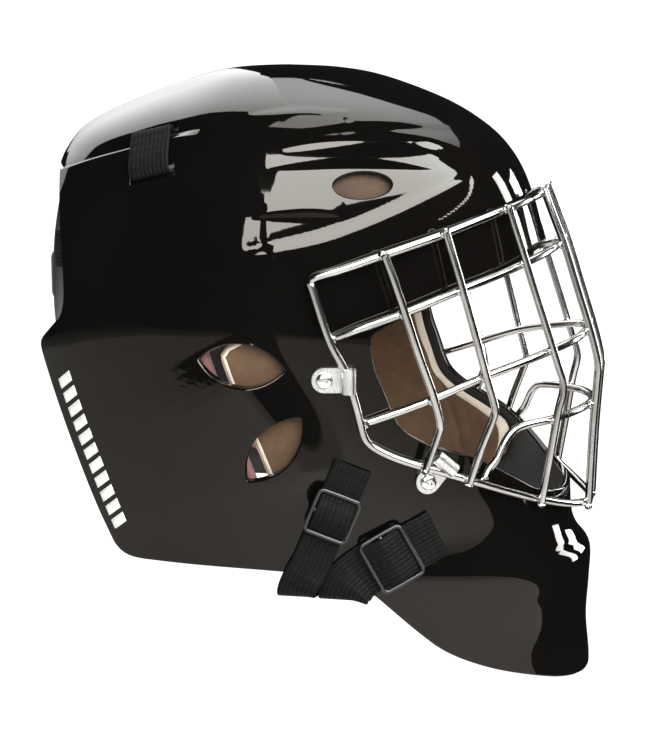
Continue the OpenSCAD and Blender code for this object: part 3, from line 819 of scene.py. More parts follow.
# ---------------------------------------------------------------- cage
RIM_TOP = [
    [133.5, 0, 73], [132, -14, 72.5], [127, -32, 70.5], [118, -49, 67], [107, -63, 63], [92, -80, 57.5],
    [77, -92, 52.5], [62, -100, 47.5], [47, -105.3, 42.5], [37, -107.4, 39.5], [34, -107.6, 37]]
RIM_REAR = [[35.5, -107.8, 32], [43, -107, 9], [50, -105.2, -5], [54, -103.8, -18], [57, -101.8, -31]]
RIM_LOW = [
    [58.5, -101, -37], [60.5, -100.2, -40.5], [64, -98.8, -43.5], [71, -96, -47.5], [79, -92.5, -51],
    [89, -88, -54.5], [106, -77.5, -61.5], [124, -62, -70], [139, -45, -77.5], [151, -27, -83],
    [158.5, -10, -85.5], [159.5, 0, -86]]
CROSS_BARS = {
    "upper_bar": [
        [142.5, 0, 47.6], [141, -14, 46.9], [136.4, -30, 44.5], [127.9, -46.2, 41], [116, -62, 36.5],
        [100, -80, 31], [78.1, -95.2, 22.5], [58, -102.5, 15.5], [43.8, -103.8, 10]],
    "lower_bar": [
        [156.5, 0, 4], [155.5, -14, 3], [151, -30, 1], [141, -46.5, -2], [128, -62, -6], [112, -76, -11],
        [88.2, -90.3, -20.5], [72, -95.5, -26.5], [59.6, -99.4, -30.7]],
    "mouth_bar": [
        [159.4, 0, -34], [158, -14, -34.2], [152.6, -30, -34.8], [142.6, -46.5, -36.1], [132, -56, -37.2],
        [126, -61.5, -39], [122, -65, -44], [118.5, -67.5, -52], [114.6, -70, -57.5], [113, -72.1, -61.1]]}
UPRIGHTS = {
    "outer": [
        [68, -101.1, 49.5], [72, -100.8, 39], [77, -99.6, 24], [83.5, -97, 3], [89.5, -93.8, -15],
        [92.8, -91.8, -27], [93.5, -91.1, -32], [92.5, -91.1, -36.5], [86.4, -92.7, -55.1]],
    "side": [
        [93.6, -82.1, 59.9], [98, -82.4, 46], [102.5, -82, 31], [108.5, -81, 10], [113.5, -79.2, -9],
        [117, -78, -21], [118, -77.7, -26], [117, -77.8, -31], [111.5, -79.2, -46], [106, -80.3, -63.8]],
    "inner": [
        [120.2, -51.2, 68.8], [123, -51.2, 60], [127.5, -50.7, 46.5], [133.5, -50, 28], [139.5, -49.6, 10],
        [146, -49, -10], [148, -48.8, -16], [148, -48.8, -22], [145.9, -49.2, -32], [142.6, -49.6, -54],
        [138.5, -49, -79.5]],
    "centre": [
        [133.4, -14, 75.8], [138, -14.5, 64], [144.5, -14.5, 47.5], [151.5, -14.5, 26], [158.5, -14, 4.5],
        [162, -14, -8], [163, -14, -15], [162.6, -14, -22], [160.9, -14, -50], [159.8, -13.9, -87.8]]}


def other_side(path):
    return [[x, -y, z] for x, y, z in path]


def full_width(half):
    return other_side(half)[::-1][:-1] + half


WIRE_RADIUS = 2.0
wires = {}
half = RIM_TOP + RIM_REAR + RIM_LOW
wires["cage_rim"] = catmull(half + [p for p in other_side(half)[::-1] if abs(p[1]) > 0.01], 8, True)
for name, bar_half in CROSS_BARS.items():
    wires[name] = catmull(full_width(bar_half), 8)
for name, run in UPRIGHTS.items():
    wires[name + "_upright_r"] = catmull(run, 8)
    wires[name + "_upright_l"] = catmull(other_side(run), 8)
for name, path in wires.items():
    wire = tube(name + "_wire", path, WIRE_RADIUS, WIRE, closed=name == "cage_rim")
    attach(wire, "mask")
    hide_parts(name)


def weld_beads():
    """A small run-out of metal at each place where two wires cross."""
    bm = bmesh.new()
    names = list(wires)
    for i, first in enumerate(names):
        for second in names[i + 1:]:
            p, q = wires[first], wires[second]
            gap = np.linalg.norm(p[:, None] - q[None], axis=2)
            taken = np.zeros(len(p), bool)
            for k in np.argsort(gap.min(axis=1)):
                if gap[k].min() > 4.3 or taken[k]:
                    continue
                taken |= np.linalg.norm(p - p[k], axis=1) < 14
                m = gap[k].argmin()
                mid = (p[k] + q[m]) / 2
                go, across, up = direction(p, k), direction(q, m), unit(q[m] - p[k])
                spread = Matrix([list(go), list(across), list(up)]).transposed().to_4x4()
                bead = bmesh.ops.create_icosphere(bm, subdivisions=2, radius=1.0)["verts"]
                size = Matrix.Diagonal((2.6 * MM, 2.6 * MM, 1.35 * MM, 1))
                stretch = Matrix.Translation(Vector(mid) * MM) @ spread @ size
                bmesh.ops.transform(bm, matrix=stretch, verts=bead)
    bmesh.ops.recalc_face_normals(bm, faces=bm.faces)
    obj = object_from(bm, "weld_beads", WIRE)
    obj.data.shade_smooth()
    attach(obj, "mask")


weld_beads()


def dress(names, mat):
    """A CAD node keeps its shape and gets a material."""
    for name in names:
        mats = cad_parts[name].data.materials
        mats.clear()
        mats.append(mat)


dress(["rear_clip_r", "rear_clip_l", "lower_clip_r", "lower_clip_l"], SPRING)
dress(["clip_nuts"], ZINC)
dress(["strap_anchors"], MATT)
dress(["strap_keeper"], GREY)

# ---------------------------------------------------------------- clip screws
REAR_SCREW, LOWER_SCREW = place(39.4, -10.1), place(86.4, -61.2)
HEAD_SEAT = 2.05
HEAD_RIM = [(0.0, 4.0), (0.5, 4.0), (1.1, 3.85), (1.6, 3.4), (1.95, 2.6), (2.1, 1.7)]


def screw_head(bm, matrix):
    """Domed pan head with a cross recess, on its shank."""
    def recess(x, y):
        return -1.15 * min(1.0, 3 * max(0.0, 1 - min(abs(x), abs(y)) / 0.62))

    rings = [(-WALL - 5, 2, False), (HEAD_SEAT, 2, False)]
    rings += [(h + HEAD_SEAT, r, False) for h, r in HEAD_RIM]
    rings += [(2.13 + HEAD_SEAT, r, True) for r in (1.35, 1.0, 0.65, 0.3)]
    sides = 48
    verts = []
    for z, r, crossed in rings:
        for x, y in circle(r, sides):
            verts.append(bm.verts.new(matrix @ Vector((x, y, z + (recess(x, y) if crossed else 0)))))
    for face in side_walls(len(rings), sides):
        bm.faces.new([verts[v] for v in face])
    bm.faces.new(verts[:sides][::-1])
    bm.faces.new(verts[-sides:])


def clip_screws():
    bm = bmesh.new()
    for spot, turn in ((REAR_SCREW, 20), (LOWER_SCREW, 60)):
        right = axes_at(*spot, turn)
        screw_head(bm, right)
        flip = Matrix.Diagonal((1, -1, 1, 1))
        screw_head(bm, flip @ right @ flip)
    bmesh.ops.scale(bm, vec=(MM, MM, MM), verts=bm.verts)
    bmesh.ops.recalc_face_normals(bm, faces=bm.faces)
    obj = object_from(bm, "clip_screw_heads", ZINC)
    obj.data.shade_smooth()
    split_edges(obj, 40)
    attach(obj, "mask")
    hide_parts("clip_screws")


clip_screws()

# ---------------------------------------------------------------- foam lining
JAW_PAD = rounded([
    [-14, 8], [57, 22], [57.5, 4], [60, -10], [65, -23], [70, -36], [77, -42.5], [88, -48], [106, -55],
    [117, -62], [112, -84], [90, -98], [34, -97], [22, -88], [8, -50], [-7, -14]])
REAR_PAD = rounded([
    [-22, 60], [-22, 14], [-13, -14], [1, -50], [11, -78], [16, -94], [-50, -94], [-58, -60], [-64, -4],
    [-62, 24], [-62, 60]])
BROW_PAD = rounded([[24, 98], [175, 98], [175, 62], [118, 58], [92, 50], [60, 40], [24, 32]], keep=(1, 2))
CROWN_PAD = rounded([[-80, 101], [-80, 170], [94, 170], [94, 105]], keep=(1, 2))
SWEATBAND = rounded([[46, 78], [175, 78], [175, 63], [96, 57], [46, 44]], keep=(1, 2))


def inside_of(outline):
    """Cut function for the shape inside an outline of the side view."""
    def cut(p):
        return polygon_distance(p[:, [0, 2]], outline)
    return cut


def welt(name, outline, side):
    """Cream piping sewn along the outer edge of a cushion."""
    pts = np.array(outline, float)
    dense = np.concatenate([np.linspace(p, q, max(2, int(np.linalg.norm(q - p) / 2.5)), endpoint=False)
                            for p, q in zip(pts, np.roll(pts, -1, axis=0))])
    step = np.eye(2) * 0.4
    grad = np.stack([polygon_distance(dense + e, pts) - polygon_distance(dense - e, pts) for e in step], -1)
    dense = dense - 2.4 * unit(grad)
    path = np.array([on_shell(place(x, z), -(FOAM_OUT + 1.25)) for x, z in dense])
    obj = tube(name, path * (1, -1, 1) if side > 0 else path, 1.3, CREAM, closed=True, sides=8)
    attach(obj, "mask")


def roundness(edge_in):
    """Quarter-circle rise from 0 at a sewn edge to 1 at 12 mm inside it."""
    full = np.clip(edge_in / 12, 0, 1)
    return np.sqrt(np.maximum(1 - (1 - full) ** 2, 0))


CUSHION_EDGE = [(0.05, 0.5, 0.8), (0.16, 1.0, 1.3), (0.5, 1.2, 1.57), (0.84, 1.0, 1.85), (0.95, 0.5, 2.3)]


def pad(name, outline, nodes, a_range, t_range, face, edge, side=0, shallow=FOAM_OUT, deep=FOAM_IN,
        step=2.6, channels=()):
    """Crowned cushion under the shell: full in the middle, pulled in at its sewn edge.

    a_range is None for a cushion that goes all the way round. channels: (line, width) of each sewn groove.
    """
    cut = inside_of(outline)
    closed = a_range is None
    if closed:
        a_values = np.linspace(-math.pi, math.pi, 221)[:-1]
    else:
        a_values = np.linspace(*a_range, int((a_range[1] - a_range[0]) * 110 / step) + 2)
    a, t, faces = clipped_grid(a_values, even_stations(*t_range, step), cut, closed, 1.2)
    if t_range[0] < 0.5:
        a, t, faces = close_pole(a, t, faces)

    def crown(aa, tt):
        p = skin(aa, tt).reshape(-1, 3)
        full = roundness(-cut(p))
        for line, w in channels:
            d, _ = line_distance(p[:, [0, 2]], np.array(line, float))
            full = full - 0.42 * np.exp(-(np.abs(d) / w) ** 2)
        return np.clip(full, 0, 1).reshape(np.shape(aa))

    def outer(aa, tt):
        sink = shallow + 0.9 * (1 - crown(aa, tt))
        return skin(aa, tt) - sink[..., None] * skin_normal(aa, tt)

    def inner(aa, tt):
        sink = shallow + (deep - shallow) * (0.62 + 0.38 * crown(aa, tt))
        return skin(aa, tt) - sink[..., None] * skin_normal(aa, tt)

    obj = plate(name, a, t, faces, outer, inner, cut, CUSHION_EDGE, [face, edge], (0, 0, 1), side > 0)
    if face is TAN:
        welt(name + "_welt", outline, side)
    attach(obj, "mask")
    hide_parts(*nodes)


RIGHT_SIDE = (-math.pi + 0.25, -0.12)
for s, tag in ((-1, "r"), (1, "l")):
    pad("jaw_cushion_" + tag, JAW_PAD, ["jaw_pad_" + tag], RIGHT_SIDE, (7.6, 13.2), TAN, CREAM, s,
        step=2.2, channels=[([[60, -20], [84, -56], [96, -94]], 1.6)])
    pad("rear_cushion_" + tag, REAR_PAD, ["rear_pad_" + tag], RIGHT_SIDE, (5.6, 12.2), ROSE, ROSE, s,
        channels=[([[-70, 26], [0, 26]], 1.6), ([[-70, -36], [20, -36]], 1.6)])
pad("brow_cushion", BROW_PAD, ["brow_pad"], None, (3.9, 7.8), BROWN, CREAM, step=3)
pad("crown_cushion", CROWN_PAD, ["crown_pad"], None, (0.12, 4.6), BROWN, BROWN, step=3,
    channels=[([[x, 90], [x, 150]], 1.8) for x in (0, -42, 42)])
pad("brow_band", SWEATBAND, ["sweatband"], None, (5.2, 7.6), TERRY, TERRY, shallow=16.2, deep=19.2,
    step=3)

# ---------------------------------------------------------------- webbing
WEB_THICK = 1.6


def ribbon(path, outs, w, t):
    """Flat strap with rounded edges: verts, faces and strap coordinates in metres."""
    path, outs = np.asarray(path, float), np.asarray(outs, float)
    n = len(path)
    e = 0.42 * t
    edge = [(w / 2 - e, 0), (w / 2 - 0.25 * e, 0.2 * t), (w / 2, t / 2), (w / 2 - 0.25 * e, 0.8 * t),
            (w / 2 - e, t)]
    section = [(-w / 2 + e, 0)] + edge
    section += [(w / 2 - e - (w - 2 * e) * k / 6, t) for k in range(1, 6)]
    section += [(-u, v) for u, v in edge[:0:-1]]
    run = np.concatenate([[0], np.cumsum(np.linalg.norm(np.diff(path, axis=0), axis=1))])
    verts, uvs = [], []
    k = len(section)
    for i in range(n):
        go = direction(path, i)
        up = unit(outs[i] - (outs[i] @ go) * go)
        side = np.cross(go, up)
        for u, v in section:
            verts.append(path[i] + u * side + v * up)
            uvs.append((run[i] * MM, u * MM))
    faces = side_walls(n, k)
    faces.append(tuple(range(k)))
    faces.append(tuple(range((n - 1) * k, n * k))[::-1])
    return verts, faces, uvs


def strap(name, path, outs, w, nodes, t=WEB_THICK, body="mask", flip=False, blend=None):
    """Webbing along a smoothed path, w wide and t thick.

    blend: the two bodies, and the points where it starts and ends; a strap given it is baked in place and
    joined to no body.
    """
    mirror = (1, -1, 1) if flip else (1, 1, 1)
    verts, faces, uvs = ribbon(catmull(path, 6) * mirror, catmull(outs, 6) * mirror, w, t)
    obj = make_object(name, verts, faces, None, [WEB], uvs=uvs)
    if blend:
        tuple(blend[2])
        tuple(blend[3])
        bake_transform(obj)
    else:
        split_edges(obj, 50)
        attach(obj, body)
    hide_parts(*nodes)


def line_places(points):
    return [place(x, z) for x, z in points]


def mix(a, b, n):
    a, b = np.array(a, float), np.array(b, float)
    return [tuple(a + (b - a) * k / n) for k in range(n + 1)]


STRAP_LIFT = 1.0
A_PLACES = line_places(mix((52.5, -52), (31.5, -102), 7))
A_FOLD = [[28.5, -103, -108], [25.8, -101.5, -114], [24.6, -97, -117.4], [25.2, -91.4, -116.5],
          [27, -88.5, -110], [30, -88, -103]]
B_PLACES = line_places([[91, -87], [84, -91], [76.5, -95], [69, -98.5], [62, -102], [56, -106]])
B_FOLD = [[50.5, -98, -111.5], [48, -97, -116.5], [47.3, -92.5, -119], [48.2, -86.5, -117.5], [50, -84, -110],
          [52, -84, -104]]
FOLD_OUTS = [[0, -1, 0], [0, -1, -0.3], [0, -0.2, -1], [0, 1, -0.6], [0, 1, 0], [0, 1, 0]]


def jaw_run(places, fold, extra):
    """Path and outward directions of a jaw strap; extra lifts its lower end off the shell, in millimetres."""
    n = len(places) - 1
    path = [on_shell(p, STRAP_LIFT + extra * (i / n) ** 2) for i, p in enumerate(places)]
    outs = [skin_normal(*p) for p in places]
    return path + [np.array(p, float) for p in fold], outs + [np.array(o, float) for o in FOLD_OUTS]


# Each slide buckle: its place on the shell, lift, turn in degrees and strap width
SLIDES = {
    "a": (place(42.6, -75.5), STRAP_LIFT + WEB_THICK + 0.8, -22, 19),
    "b": (place(69.5, -98.2), STRAP_LIFT + 2.1, -61, 25)}


def rounded_box_loop(l, w, r, n=5):
    pts = []
    for cx, cy, g0 in ((l / 2 - r, w / 2 - r, 0), (-l / 2 + r, w / 2 - r, 90), (-l / 2 + r, -w / 2 + r, 180),
                       (l / 2 - r, -w / 2 + r, 270)):
        for k in range(n + 1):
            g = math.radians(g0 + 90 * k / n)
            pts.append((cx + r * math.cos(g), cy + r * math.sin(g), 0))
    return pts


SLIDE_LENGTH = 24


def slide_buckle(kind, flip):
    """Moulded slide: a round-cornered frame with a middle bar, and the webbing's loop over that bar."""
    spot, lift, turn, w = SLIDES[kind]
    m = np.array(axes_at(*spot, turn))
    side = "l" if flip else "r"
    verts, faces = [], []
    around = 10

    def add(path, closed, half_w, half_t, z):
        """A bar with a squarish round section along a flat path at height z."""
        section = [(half_t * power(s, 0.6), half_w * power(c, 0.6)) for c, s in circle(1, around)]
        start = len(verts)
        for i, p in enumerate(np.array(path, float)):
            across = np.cross(direction(np.array(path, float), i, closed), (0, 0, 1))
            verts.extend(p + v * across + np.array([0, 0, u + z]) for u, v in section)
        faces.extend(tuple(start + v for v in f[::-1]) for f in side_walls(len(path), around, closed))
        if not closed:
            faces.append(tuple(range(start, start + around))[::-1])
            faces.append(tuple(range(len(verts) - around, len(verts))))

    top = lift + 0.9
    add(rounded_box_loop(SLIDE_LENGTH - 2, w + 4 - 2, 2.6), True, 1.0, 1.3, top + 1.3)
    add([(0, y, 0) for y in np.linspace(-w / 2 - 1, w / 2 + 1, 9)], False, 1.15, 1.1, top + 1.2)
    out = np.array([(m @ np.array([*v, 1]))[:3] for v in verts])
    if flip:
        out, faces = out * (1, -1, 1), [f[::-1] for f in faces]
    obj = make_object("slide_%s_%s_frame" % (kind, side), out, faces, None, [MATT])
    soft = obj.modifiers.new("soft", "SUBSURF")
    soft.levels = soft.render_levels = 1
    body = "slide_%s_%s_buckle" % (kind, side)
    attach(obj, body)
    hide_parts("slide_%s_%s" % (kind, side))
    # webbing over the middle bar
    half = (SLIDE_LENGTH - 4) / 2
    hump = [(0, 2.5), (3, 2.0), (half * 0.62, 0.7), (half, -0.6)]
    local = [(-x, z) for x, z in hump[:0:-1]] + hump
    path = [(m @ np.array([x, 0, top + z, 1]))[:3] for x, z in local]
    strap("slide_%s_%s_loop" % (kind, side), path, [m[:3, 2]] * len(path), w - 0.8, [], 1.2, body, flip)


def crown_run():
    """The crown strap comes out of one slot of the shell and goes into the other."""
    n, m, go = skin_normal(*TAB_TOP), skin_normal(*TAB_LOW), TAB_GO
    p, q = on_shell(TAB_TOP, TAB_LIFT), on_shell(TAB_LOW, TAB_LIFT)
    rise = 2.6 * m
    path = [p - 4 * n, p + 0.2 * go, p + 4 * go + 0.4 * rise, q - 8 * go + rise, q - 3 * go + rise,
            q + 0.5 * go + rise * 0.5, q - 3.5 * m]
    return path, [-go, n - go, n, m, m, m + go, go]


SLING = [[46, -79, -101], [66, -62, -104.5], [86, -42, -107]]
for flip, side in ((False, "r"), (True, "l")):
    strap("jaw_webbing_a_" + side, *jaw_run(A_PLACES, A_FOLD, 2.2), 19, ["jaw_strap_a_" + side], flip=flip)
    strap("jaw_webbing_b_" + side, *jaw_run(B_PLACES, B_FOLD, 0), 25, ["jaw_strap_b_" + side], flip=flip)
    for kind in "ab":
        slide_buckle(kind, flip)
    strap("crown_webbing_" + side, *crown_run(), 21, ["crown_strap_" + side], flip=flip)
    strap("sling_webbing_" + side, SLING, [[0.3, 1, 0]] * 3, 16, ["sling_strap_" + side], flip=flip)

# ---------------------------------------------------------------- generic stripe decal
DECAL = line_places(mix((-93, -12), (-63.5, -88), 40))


def decal(flip):
    """Row of plain slanted bars along the rear of the jaw."""
    verts, faces = [], []
    run = np.linspace(0, 1, 41)
    path = np.array([on_shell(p, 0.15) for p in DECAL])
    outs = np.array([skin_normal(*p) for p in DECAL])

    def at(k, u):
        p = np.array([np.interp(k, run, path[:, i]) for i in range(3)])
        o = unit(np.array([np.interp(k, run, outs[:, i]) for i in range(3)]))
        go = unit(path[-1] - path[0])
        side = unit(np.cross(go, o))
        return p + u * side + 0.12 * o

    bars = 11
    for b in range(bars):
        k0 = 0.004 + b / bars
        k1 = k0 + 0.062    # each bar takes this share of the row
        base = len(verts)
        for i in range(7):
            u = -4.3 + 8.6 * i / 6
            slant = 0.028 * (i / 6 - 0.5)
            verts += [at(np.clip(k0 + slant + 0.014, 0, 1), u), at(np.clip(k1 + slant + 0.014, 0, 1), u)]
        for i in range(6):
            p = base + 2 * i
            faces.append((p, p + 1, p + 3, p + 2))
    verts = np.array(verts)
    if flip:
        verts = verts * (1, -1, 1)
        faces = [f[::-1] for f in faces]
    side = "l" if flip else "r"
    obj = make_object("stripe_decal_" + side, verts, faces, None, [INK])
    mod = obj.modifiers.new("film", "SOLIDIFY")
    mod.thickness = 0.00012
    mod.offset = 1
    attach(obj, "mask")
    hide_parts("decal_" + side)


decal(False)
decal(True)

# ---------------------------------------------------------------- back plate
# Rows of the plate from the top down: height, rear x, middle x, half width
PLATE_ROWS = np.array([
    [82, -113.5, -60, 70], [72, -117.5, -60, 75], [50, -121.5, -60, 78], [25, -123, -60, 78.5],
    [0, -122, -60, 77], [-22, -118, -60, 73], [-40, -112, -60, 67], [-48, -108, -60, 62]])
PLATE_LAST = len(PLATE_ROWS) - 1
PLATE_COLS, PLATE_ARC = 30, 152
PLATE_LIP = [(0.12, 0.6, 0.8), (0.3, 1.0, 1.57), (0.7, 1.0, 1.57), (0.88, 0.6, 2.3)]
PLATE_PAD_LIP = [(0.1, 0.6, 0.8), (0.3, 1.2, 1.4), (0.7, 1.2, 1.8), (0.92, 0.6, 2.3)]


def plate_point(row, k, depth):
    """Point of the plate at a row and a column, 0 to 30 round the back, so deep under its outside."""
    p = spline_row(PLATE_ROWS, row)
    g = np.radians(104 + PLATE_ARC * k / PLATE_COLS)
    e = 2 / 2.3
    return np.stack([p[..., 2] + (p[..., 2] - p[..., 1] - depth) * power(np.cos(g), e),
                     (p[..., 3] - depth) * power(np.sin(g), e), p[..., 0]], -1)


def curved_plate(name, depths, rows, cols, mats, face_mats, corner, node, lip, crown=0.0):
    """Curved plate or cushion with round corners and a rounded rim. crown: how far its inside swells."""
    radius = 78

    def outer(k, row):
        return plate_point(row, k, depths[0])

    def cut(p):
        # distance past a rounded rectangle in unrolled width and height
        u = np.degrees(np.arctan2(p[:, 1], -(p[:, 0] + 60))) * radius * math.pi / 180
        half_u = (cols[1] - PLATE_COLS / 2) * PLATE_ARC / PLATE_COLS * radius * math.pi / 180
        mid, half_z = (rows[0] + rows[1]) / 2, (rows[0] - rows[1]) / 2
        q = np.stack([np.abs(u) - half_u + corner, np.abs(p[:, 2] - mid) - half_z + corner], -1)
        return np.linalg.norm(np.maximum(q, 0), axis=1) - corner

    def inner(k, row):
        if not crown:
            return plate_point(row, k, depths[1])
        depth = depths[1] - crown * (1 - roundness(-cut(outer(k, row))))
        a = plate_point(row, k, 0.0)
        return a + (plate_point(row, k, 10.0) - a) * depth[..., None] / 10

    ks = np.linspace(cols[0] - 0.2, cols[1] + 0.2, 75)
    rs = np.linspace(0, PLATE_LAST, 60)
    kk, rr = np.meshgrid(ks, rs, indexing="ij")
    keep = cut(outer(kk, rr).reshape(-1, 3)).reshape(kk.shape) < 0
    full = keep[:-1, :-1] & keep[1:, :-1] & keep[:-1, 1:] & keep[1:, 1:]
    ids, quads = {}, []
    for i, j in zip(*np.nonzero(full)):
        quads.append(tuple(ids.setdefault(c, len(ids))
                           for c in ((i, j), (i, j + 1), (i + 1, j + 1), (i + 1, j)))[::-1])
    k, r = (np.array([line[c[axis]] for c in ids]) for axis, line in enumerate((ks, rs)))
    top = outer(k, r)
    n_top = unit(np.cross(outer(k + 0.05, r) - outer(k - 0.05, r),
                          outer(k, np.minimum(r + 0.05, PLATE_LAST)) - outer(k, np.maximum(r - 0.05, 0))))
    if np.mean(np.sum(n_top * (top - (-40, 0, 10)), axis=1)) < 0:
        n_top = -n_top
    a, b, c = (top[v] for v in quads[0][:3])
    if np.dot(np.cross(b - a, c - a), n_top[quads[0][0]]) < 0:
        quads = [f[::-1] for f in quads]
    obj = join_skins(name, (top, inner(k, r)), (n_top, -n_top), quads, cut, lip, mats, face_mats, margin=1.0)
    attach(obj, "back_plate_unit")
    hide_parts(node)
    return obj


curved_plate("back_shell", (0, 3), (81, -47), (0, 30), [PLATE, MATT], (0, 1, 0), 16, "back_plate", PLATE_LIP)
cushion = curved_plate("back_cushion", (3.4, 12), (71, -39), (2, 28), [BROWN, CREAM], (1, 0, 1), 14,
                       "plate_foam", PLATE_PAD_LIP, crown=3.2)


def chin_cup():
    """Padded bowl with a rolled rim, tipped back towards the chin."""
    radii, wall, around = np.array([33.4, 32.4, 21.4]), 4.6, 72
    profile = [(math.cos(v), -math.sin(v), 0.0) for v in np.linspace(0.02, math.pi / 2 - 0.02, 14)][::-1]
    profile += [(math.cos(v), -math.sin(v), wall) for v in np.linspace(0.02, math.pi / 2 - 0.02, 14)]
    verts, faces = [], []
    for k, (c, z, depth) in enumerate(profile):
        for i in range(around):
            g = 2 * math.pi * i / around
            seam = 0.35 * math.exp(-((k - 14) / 1.2) ** 2)
            r = radii - depth + seam
            rolled = 0.7 if k in (13, 14) else 0
            verts.append((r[0] * c * math.cos(g), r[1] * c * math.sin(g), r[2] * z + rolled))
    rows = len(profile)
    for k in range(rows - 1):
        for i in range(around):
            m = (i + 1) % around
            faces.append((k * around + i, k * around + m, (k + 1) * around + m, (k + 1) * around + i))
    faces.append(tuple(range(around))[::-1])
    faces.append(tuple(range((rows - 1) * around, rows * around)))
    tip = math.radians(-18)
    c, s = math.cos(tip), math.sin(tip)
    verts = [(104 + c * x + s * z, y, -104 - s * x + c * z) for x, y, z in verts]
    obj = make_object("chin_cup_pad", verts, faces, None, [CUP])
    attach(obj, "cup")
    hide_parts("chin_cup")


chin_cup()


def near_plate(row, k, depth):
    return plate_point(np.array(float(row)), np.array(float(k)), depth)


def to_plate(p, q, s=1):
    """The mask and back plate bodies, with two points of a strap's path in metres."""
    return ("mask", "back_plate_unit", tuple(p * (MM, s * MM, MM)), tuple(q * (MM, s * MM, MM)))


# One strap a side at each height, from its rivet inside the shell round to the plate
for flip, side in ((False, "r"), (True, "l")):
    for level, (z, row) in enumerate(((46, 2.2), (-16, 4.75))):
        rivet = on_shell(place(-80, z), -7.4)
        path = [rivet + (8, 0, 0), rivet, rivet + (-9, 5, 0)]
        path += [near_plate(row, k, -1.6) for k in (27, 26, 25, 24)]
        outs = [[0, -1, 0], [-0.1, -1, 0], [-0.4, -1, 0]] + [[-0.6, -1, 0]] * 4
        names = ["side_straps_" + side, "plate_straps_" + side] if level == 0 else []
        strap("back_webbing_%s_%d" % (side, level), path, outs, 19, names, flip=flip,
              blend=to_plate(path[2], path[3], -1 if flip else 1))
path = [np.array(p, float) for p in ([-86, 0, 106.5], [-94, 0, 102.5], [-101, 0, 97.5])]
path += [near_plate(row, 15, -0.6) for row in (0.4, 1, 2)]
outs = [[-0.3, 0, 1], [-0.5, 0, 1], [-0.8, 0, 0.8], [-1, 0, 0.25], [-1, 0, 0.1], [-1, 0, 0.1]]
strap("top_webbing", path, outs, 30, ["top_anchor", "top_strap"], blend=to_plate(path[2], path[3]))

# ---------------------------------------------------------------- light, floor and surroundings
def emitter(name, tint):
    """Material that only gives light, and the socket of its strength."""
    glow = bpy.data.materials.new(name)
    glow.use_nodes = True
    tree = glow.node_tree
    tree.nodes.clear()
    emit, out = tree.nodes.new("ShaderNodeEmission"), tree.nodes.new("ShaderNodeOutputMaterial")
    emit.inputs["Color"].default_value = (*tint, 1)
    tree.links.new(emit.outputs[0], out.inputs["Surface"])
    return glow, emit.inputs["Strength"]


def surroundings():
    """Dim room for reflections, a white dome seen by everything else, and a pale floor."""
    world = bpy.data.worlds.new("studio")
    scene.world = world
    world.use_nodes = True
    room = world.node_tree.nodes["Background"].inputs
    room["Color"].default_value = (0.012, 0.0115, 0.011, 1)
    room["Strength"].default_value = 1.0
    glow, strength = emitter("white_backdrop", (1, 1, 1))
    strength.default_value = 1.25
    bm = bmesh.new()
    bmesh.ops.create_uvsphere(bm, u_segments=48, v_segments=24, radius=6.0)
    dome = object_from(bm, "backdrop", glow)
    dome.visible_glossy = dome.visible_transmission = False
    dome.visible_shadow = dome.visible_volume_scatter = False
    pale = material("pale_floor", (0.88, 0.865, 0.845), 0.7)
    n = Nodes(pale)
    tone = n.noise(n.coords(), 3)
    n.to(n.ramp(tone, [(0.3, (0.86, 0.845, 0.825)), (0.7, (0.9, 0.885, 0.865))]), "Base Color")
    bm = bmesh.new()
    corners = [(-9, -9), (7.5, -5.75), (2.2, -0.94), (1.34, -0.16), (-1.6, 2.5), (-9, 2.5)]
    bm.faces.new([bm.verts.new((x, y, 0)) for x, y in corners])
    floor = object_from(bm, "floor", pale)
    floor.location.z = -0.6


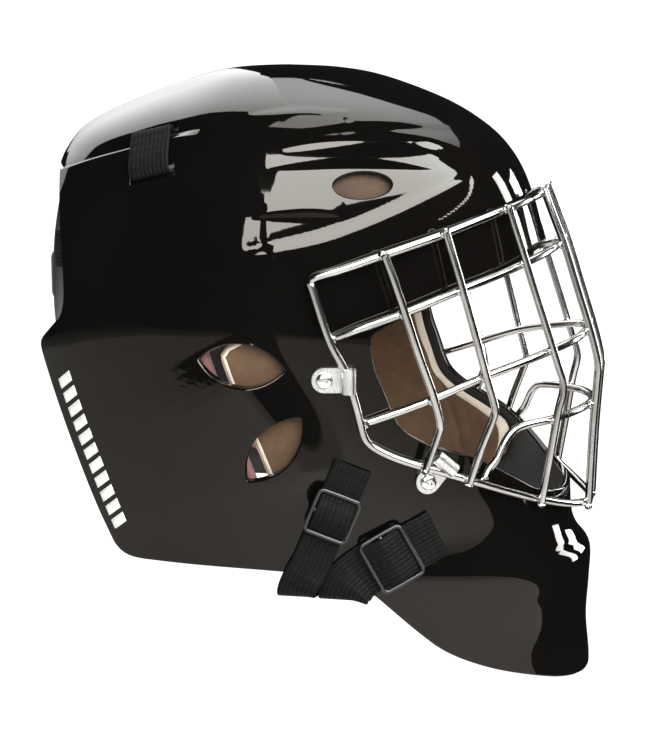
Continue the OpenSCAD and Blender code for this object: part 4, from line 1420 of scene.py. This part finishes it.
def light_patch(name, az, el, radiance, tint=(1, 1, 1), foot=0.0):
    """Soft panel seen only in reflections, as part of a sphere round the object.

    az, el: its span in degrees; azimuth 0 is the wearer's right, 90 the front. radiance: (low, high).
    foot: how much higher its lower edge lies at the far end.
    """
    reach = 2.7
    cols, rows = 28, 16
    verts = []
    for j in range(rows + 1):
        for i in range(cols + 1):
            low = el[0] + foot * i / cols
            e = math.radians(low + (el[1] - low) * j / rows)
            g = math.radians(az[0] + (az[1] - az[0]) * i / cols)
            flat = reach * math.cos(e)
            verts.append((flat * math.sin(g), -flat * math.cos(g), reach * math.sin(e)))
    line = cols + 1
    faces = [(j * line + i, (j + 1) * line + i, (j + 1) * line + i + 1, j * line + i + 1)
             for j in range(rows) for i in range(cols)]
    mesh = bpy.data.meshes.new(name)
    mesh.from_pydata(verts, [], faces)
    glow, strength = emitter(name, tint)
    tree = glow.node_tree
    where, split = tree.nodes.new("ShaderNodeTexCoord"), tree.nodes.new("ShaderNodeSeparateXYZ")
    span = tree.nodes.new("ShaderNodeMapRange")
    span.inputs["To Min"].default_value, span.inputs["To Max"].default_value = radiance
    tree.links.new(where.outputs["Generated"], split.inputs[0])
    tree.links.new(split.outputs["Z"], span.inputs["Value"])
    tree.links.new(span.outputs[0], strength)
    mesh.materials.append(glow)
    obj = link(name, mesh)
    obj.visible_camera = obj.visible_diffuse = obj.visible_transmission = obj.visible_shadow = False


def softbox():
    """Soft studio light on the near side, kept out of reflections."""
    lamp = bpy.data.lights.new("key_softbox", "AREA")
    lamp.shape = "RECTANGLE"
    lamp.size, lamp.size_y = 1.35, 0.95
    lamp.energy = 24
    obj = link("key_softbox", lamp)
    obj.location = (0.95, -1.15, 0.88)
    aim(obj, (0.05, -0.05, 0.07))
    obj.visible_glossy = False


surroundings()
light_patch("brow_panel", (-2, 92), (9, 52), (23, 26), (0.93, 0.97, 1), foot=20)
light_patch("crown_panel_rear", (-164, -112), (6, 84), (1.1, 6.6), (0.97, 0.985, 1))
light_patch("crown_panel_middle", (-240, -164), (44, 84), (2.4, 7.0), (0.97, 0.985, 1))
light_patch("edge_strip", (120, 129), (-8, 24), (18, 18))
light_patch("crown_panel_top", (-25, 120), (77, 90), (7.5, 7), (0.97, 0.985, 1))
light_patch("chin_strip", (137, 149), (-1, 16), (16, 16))
softbox()
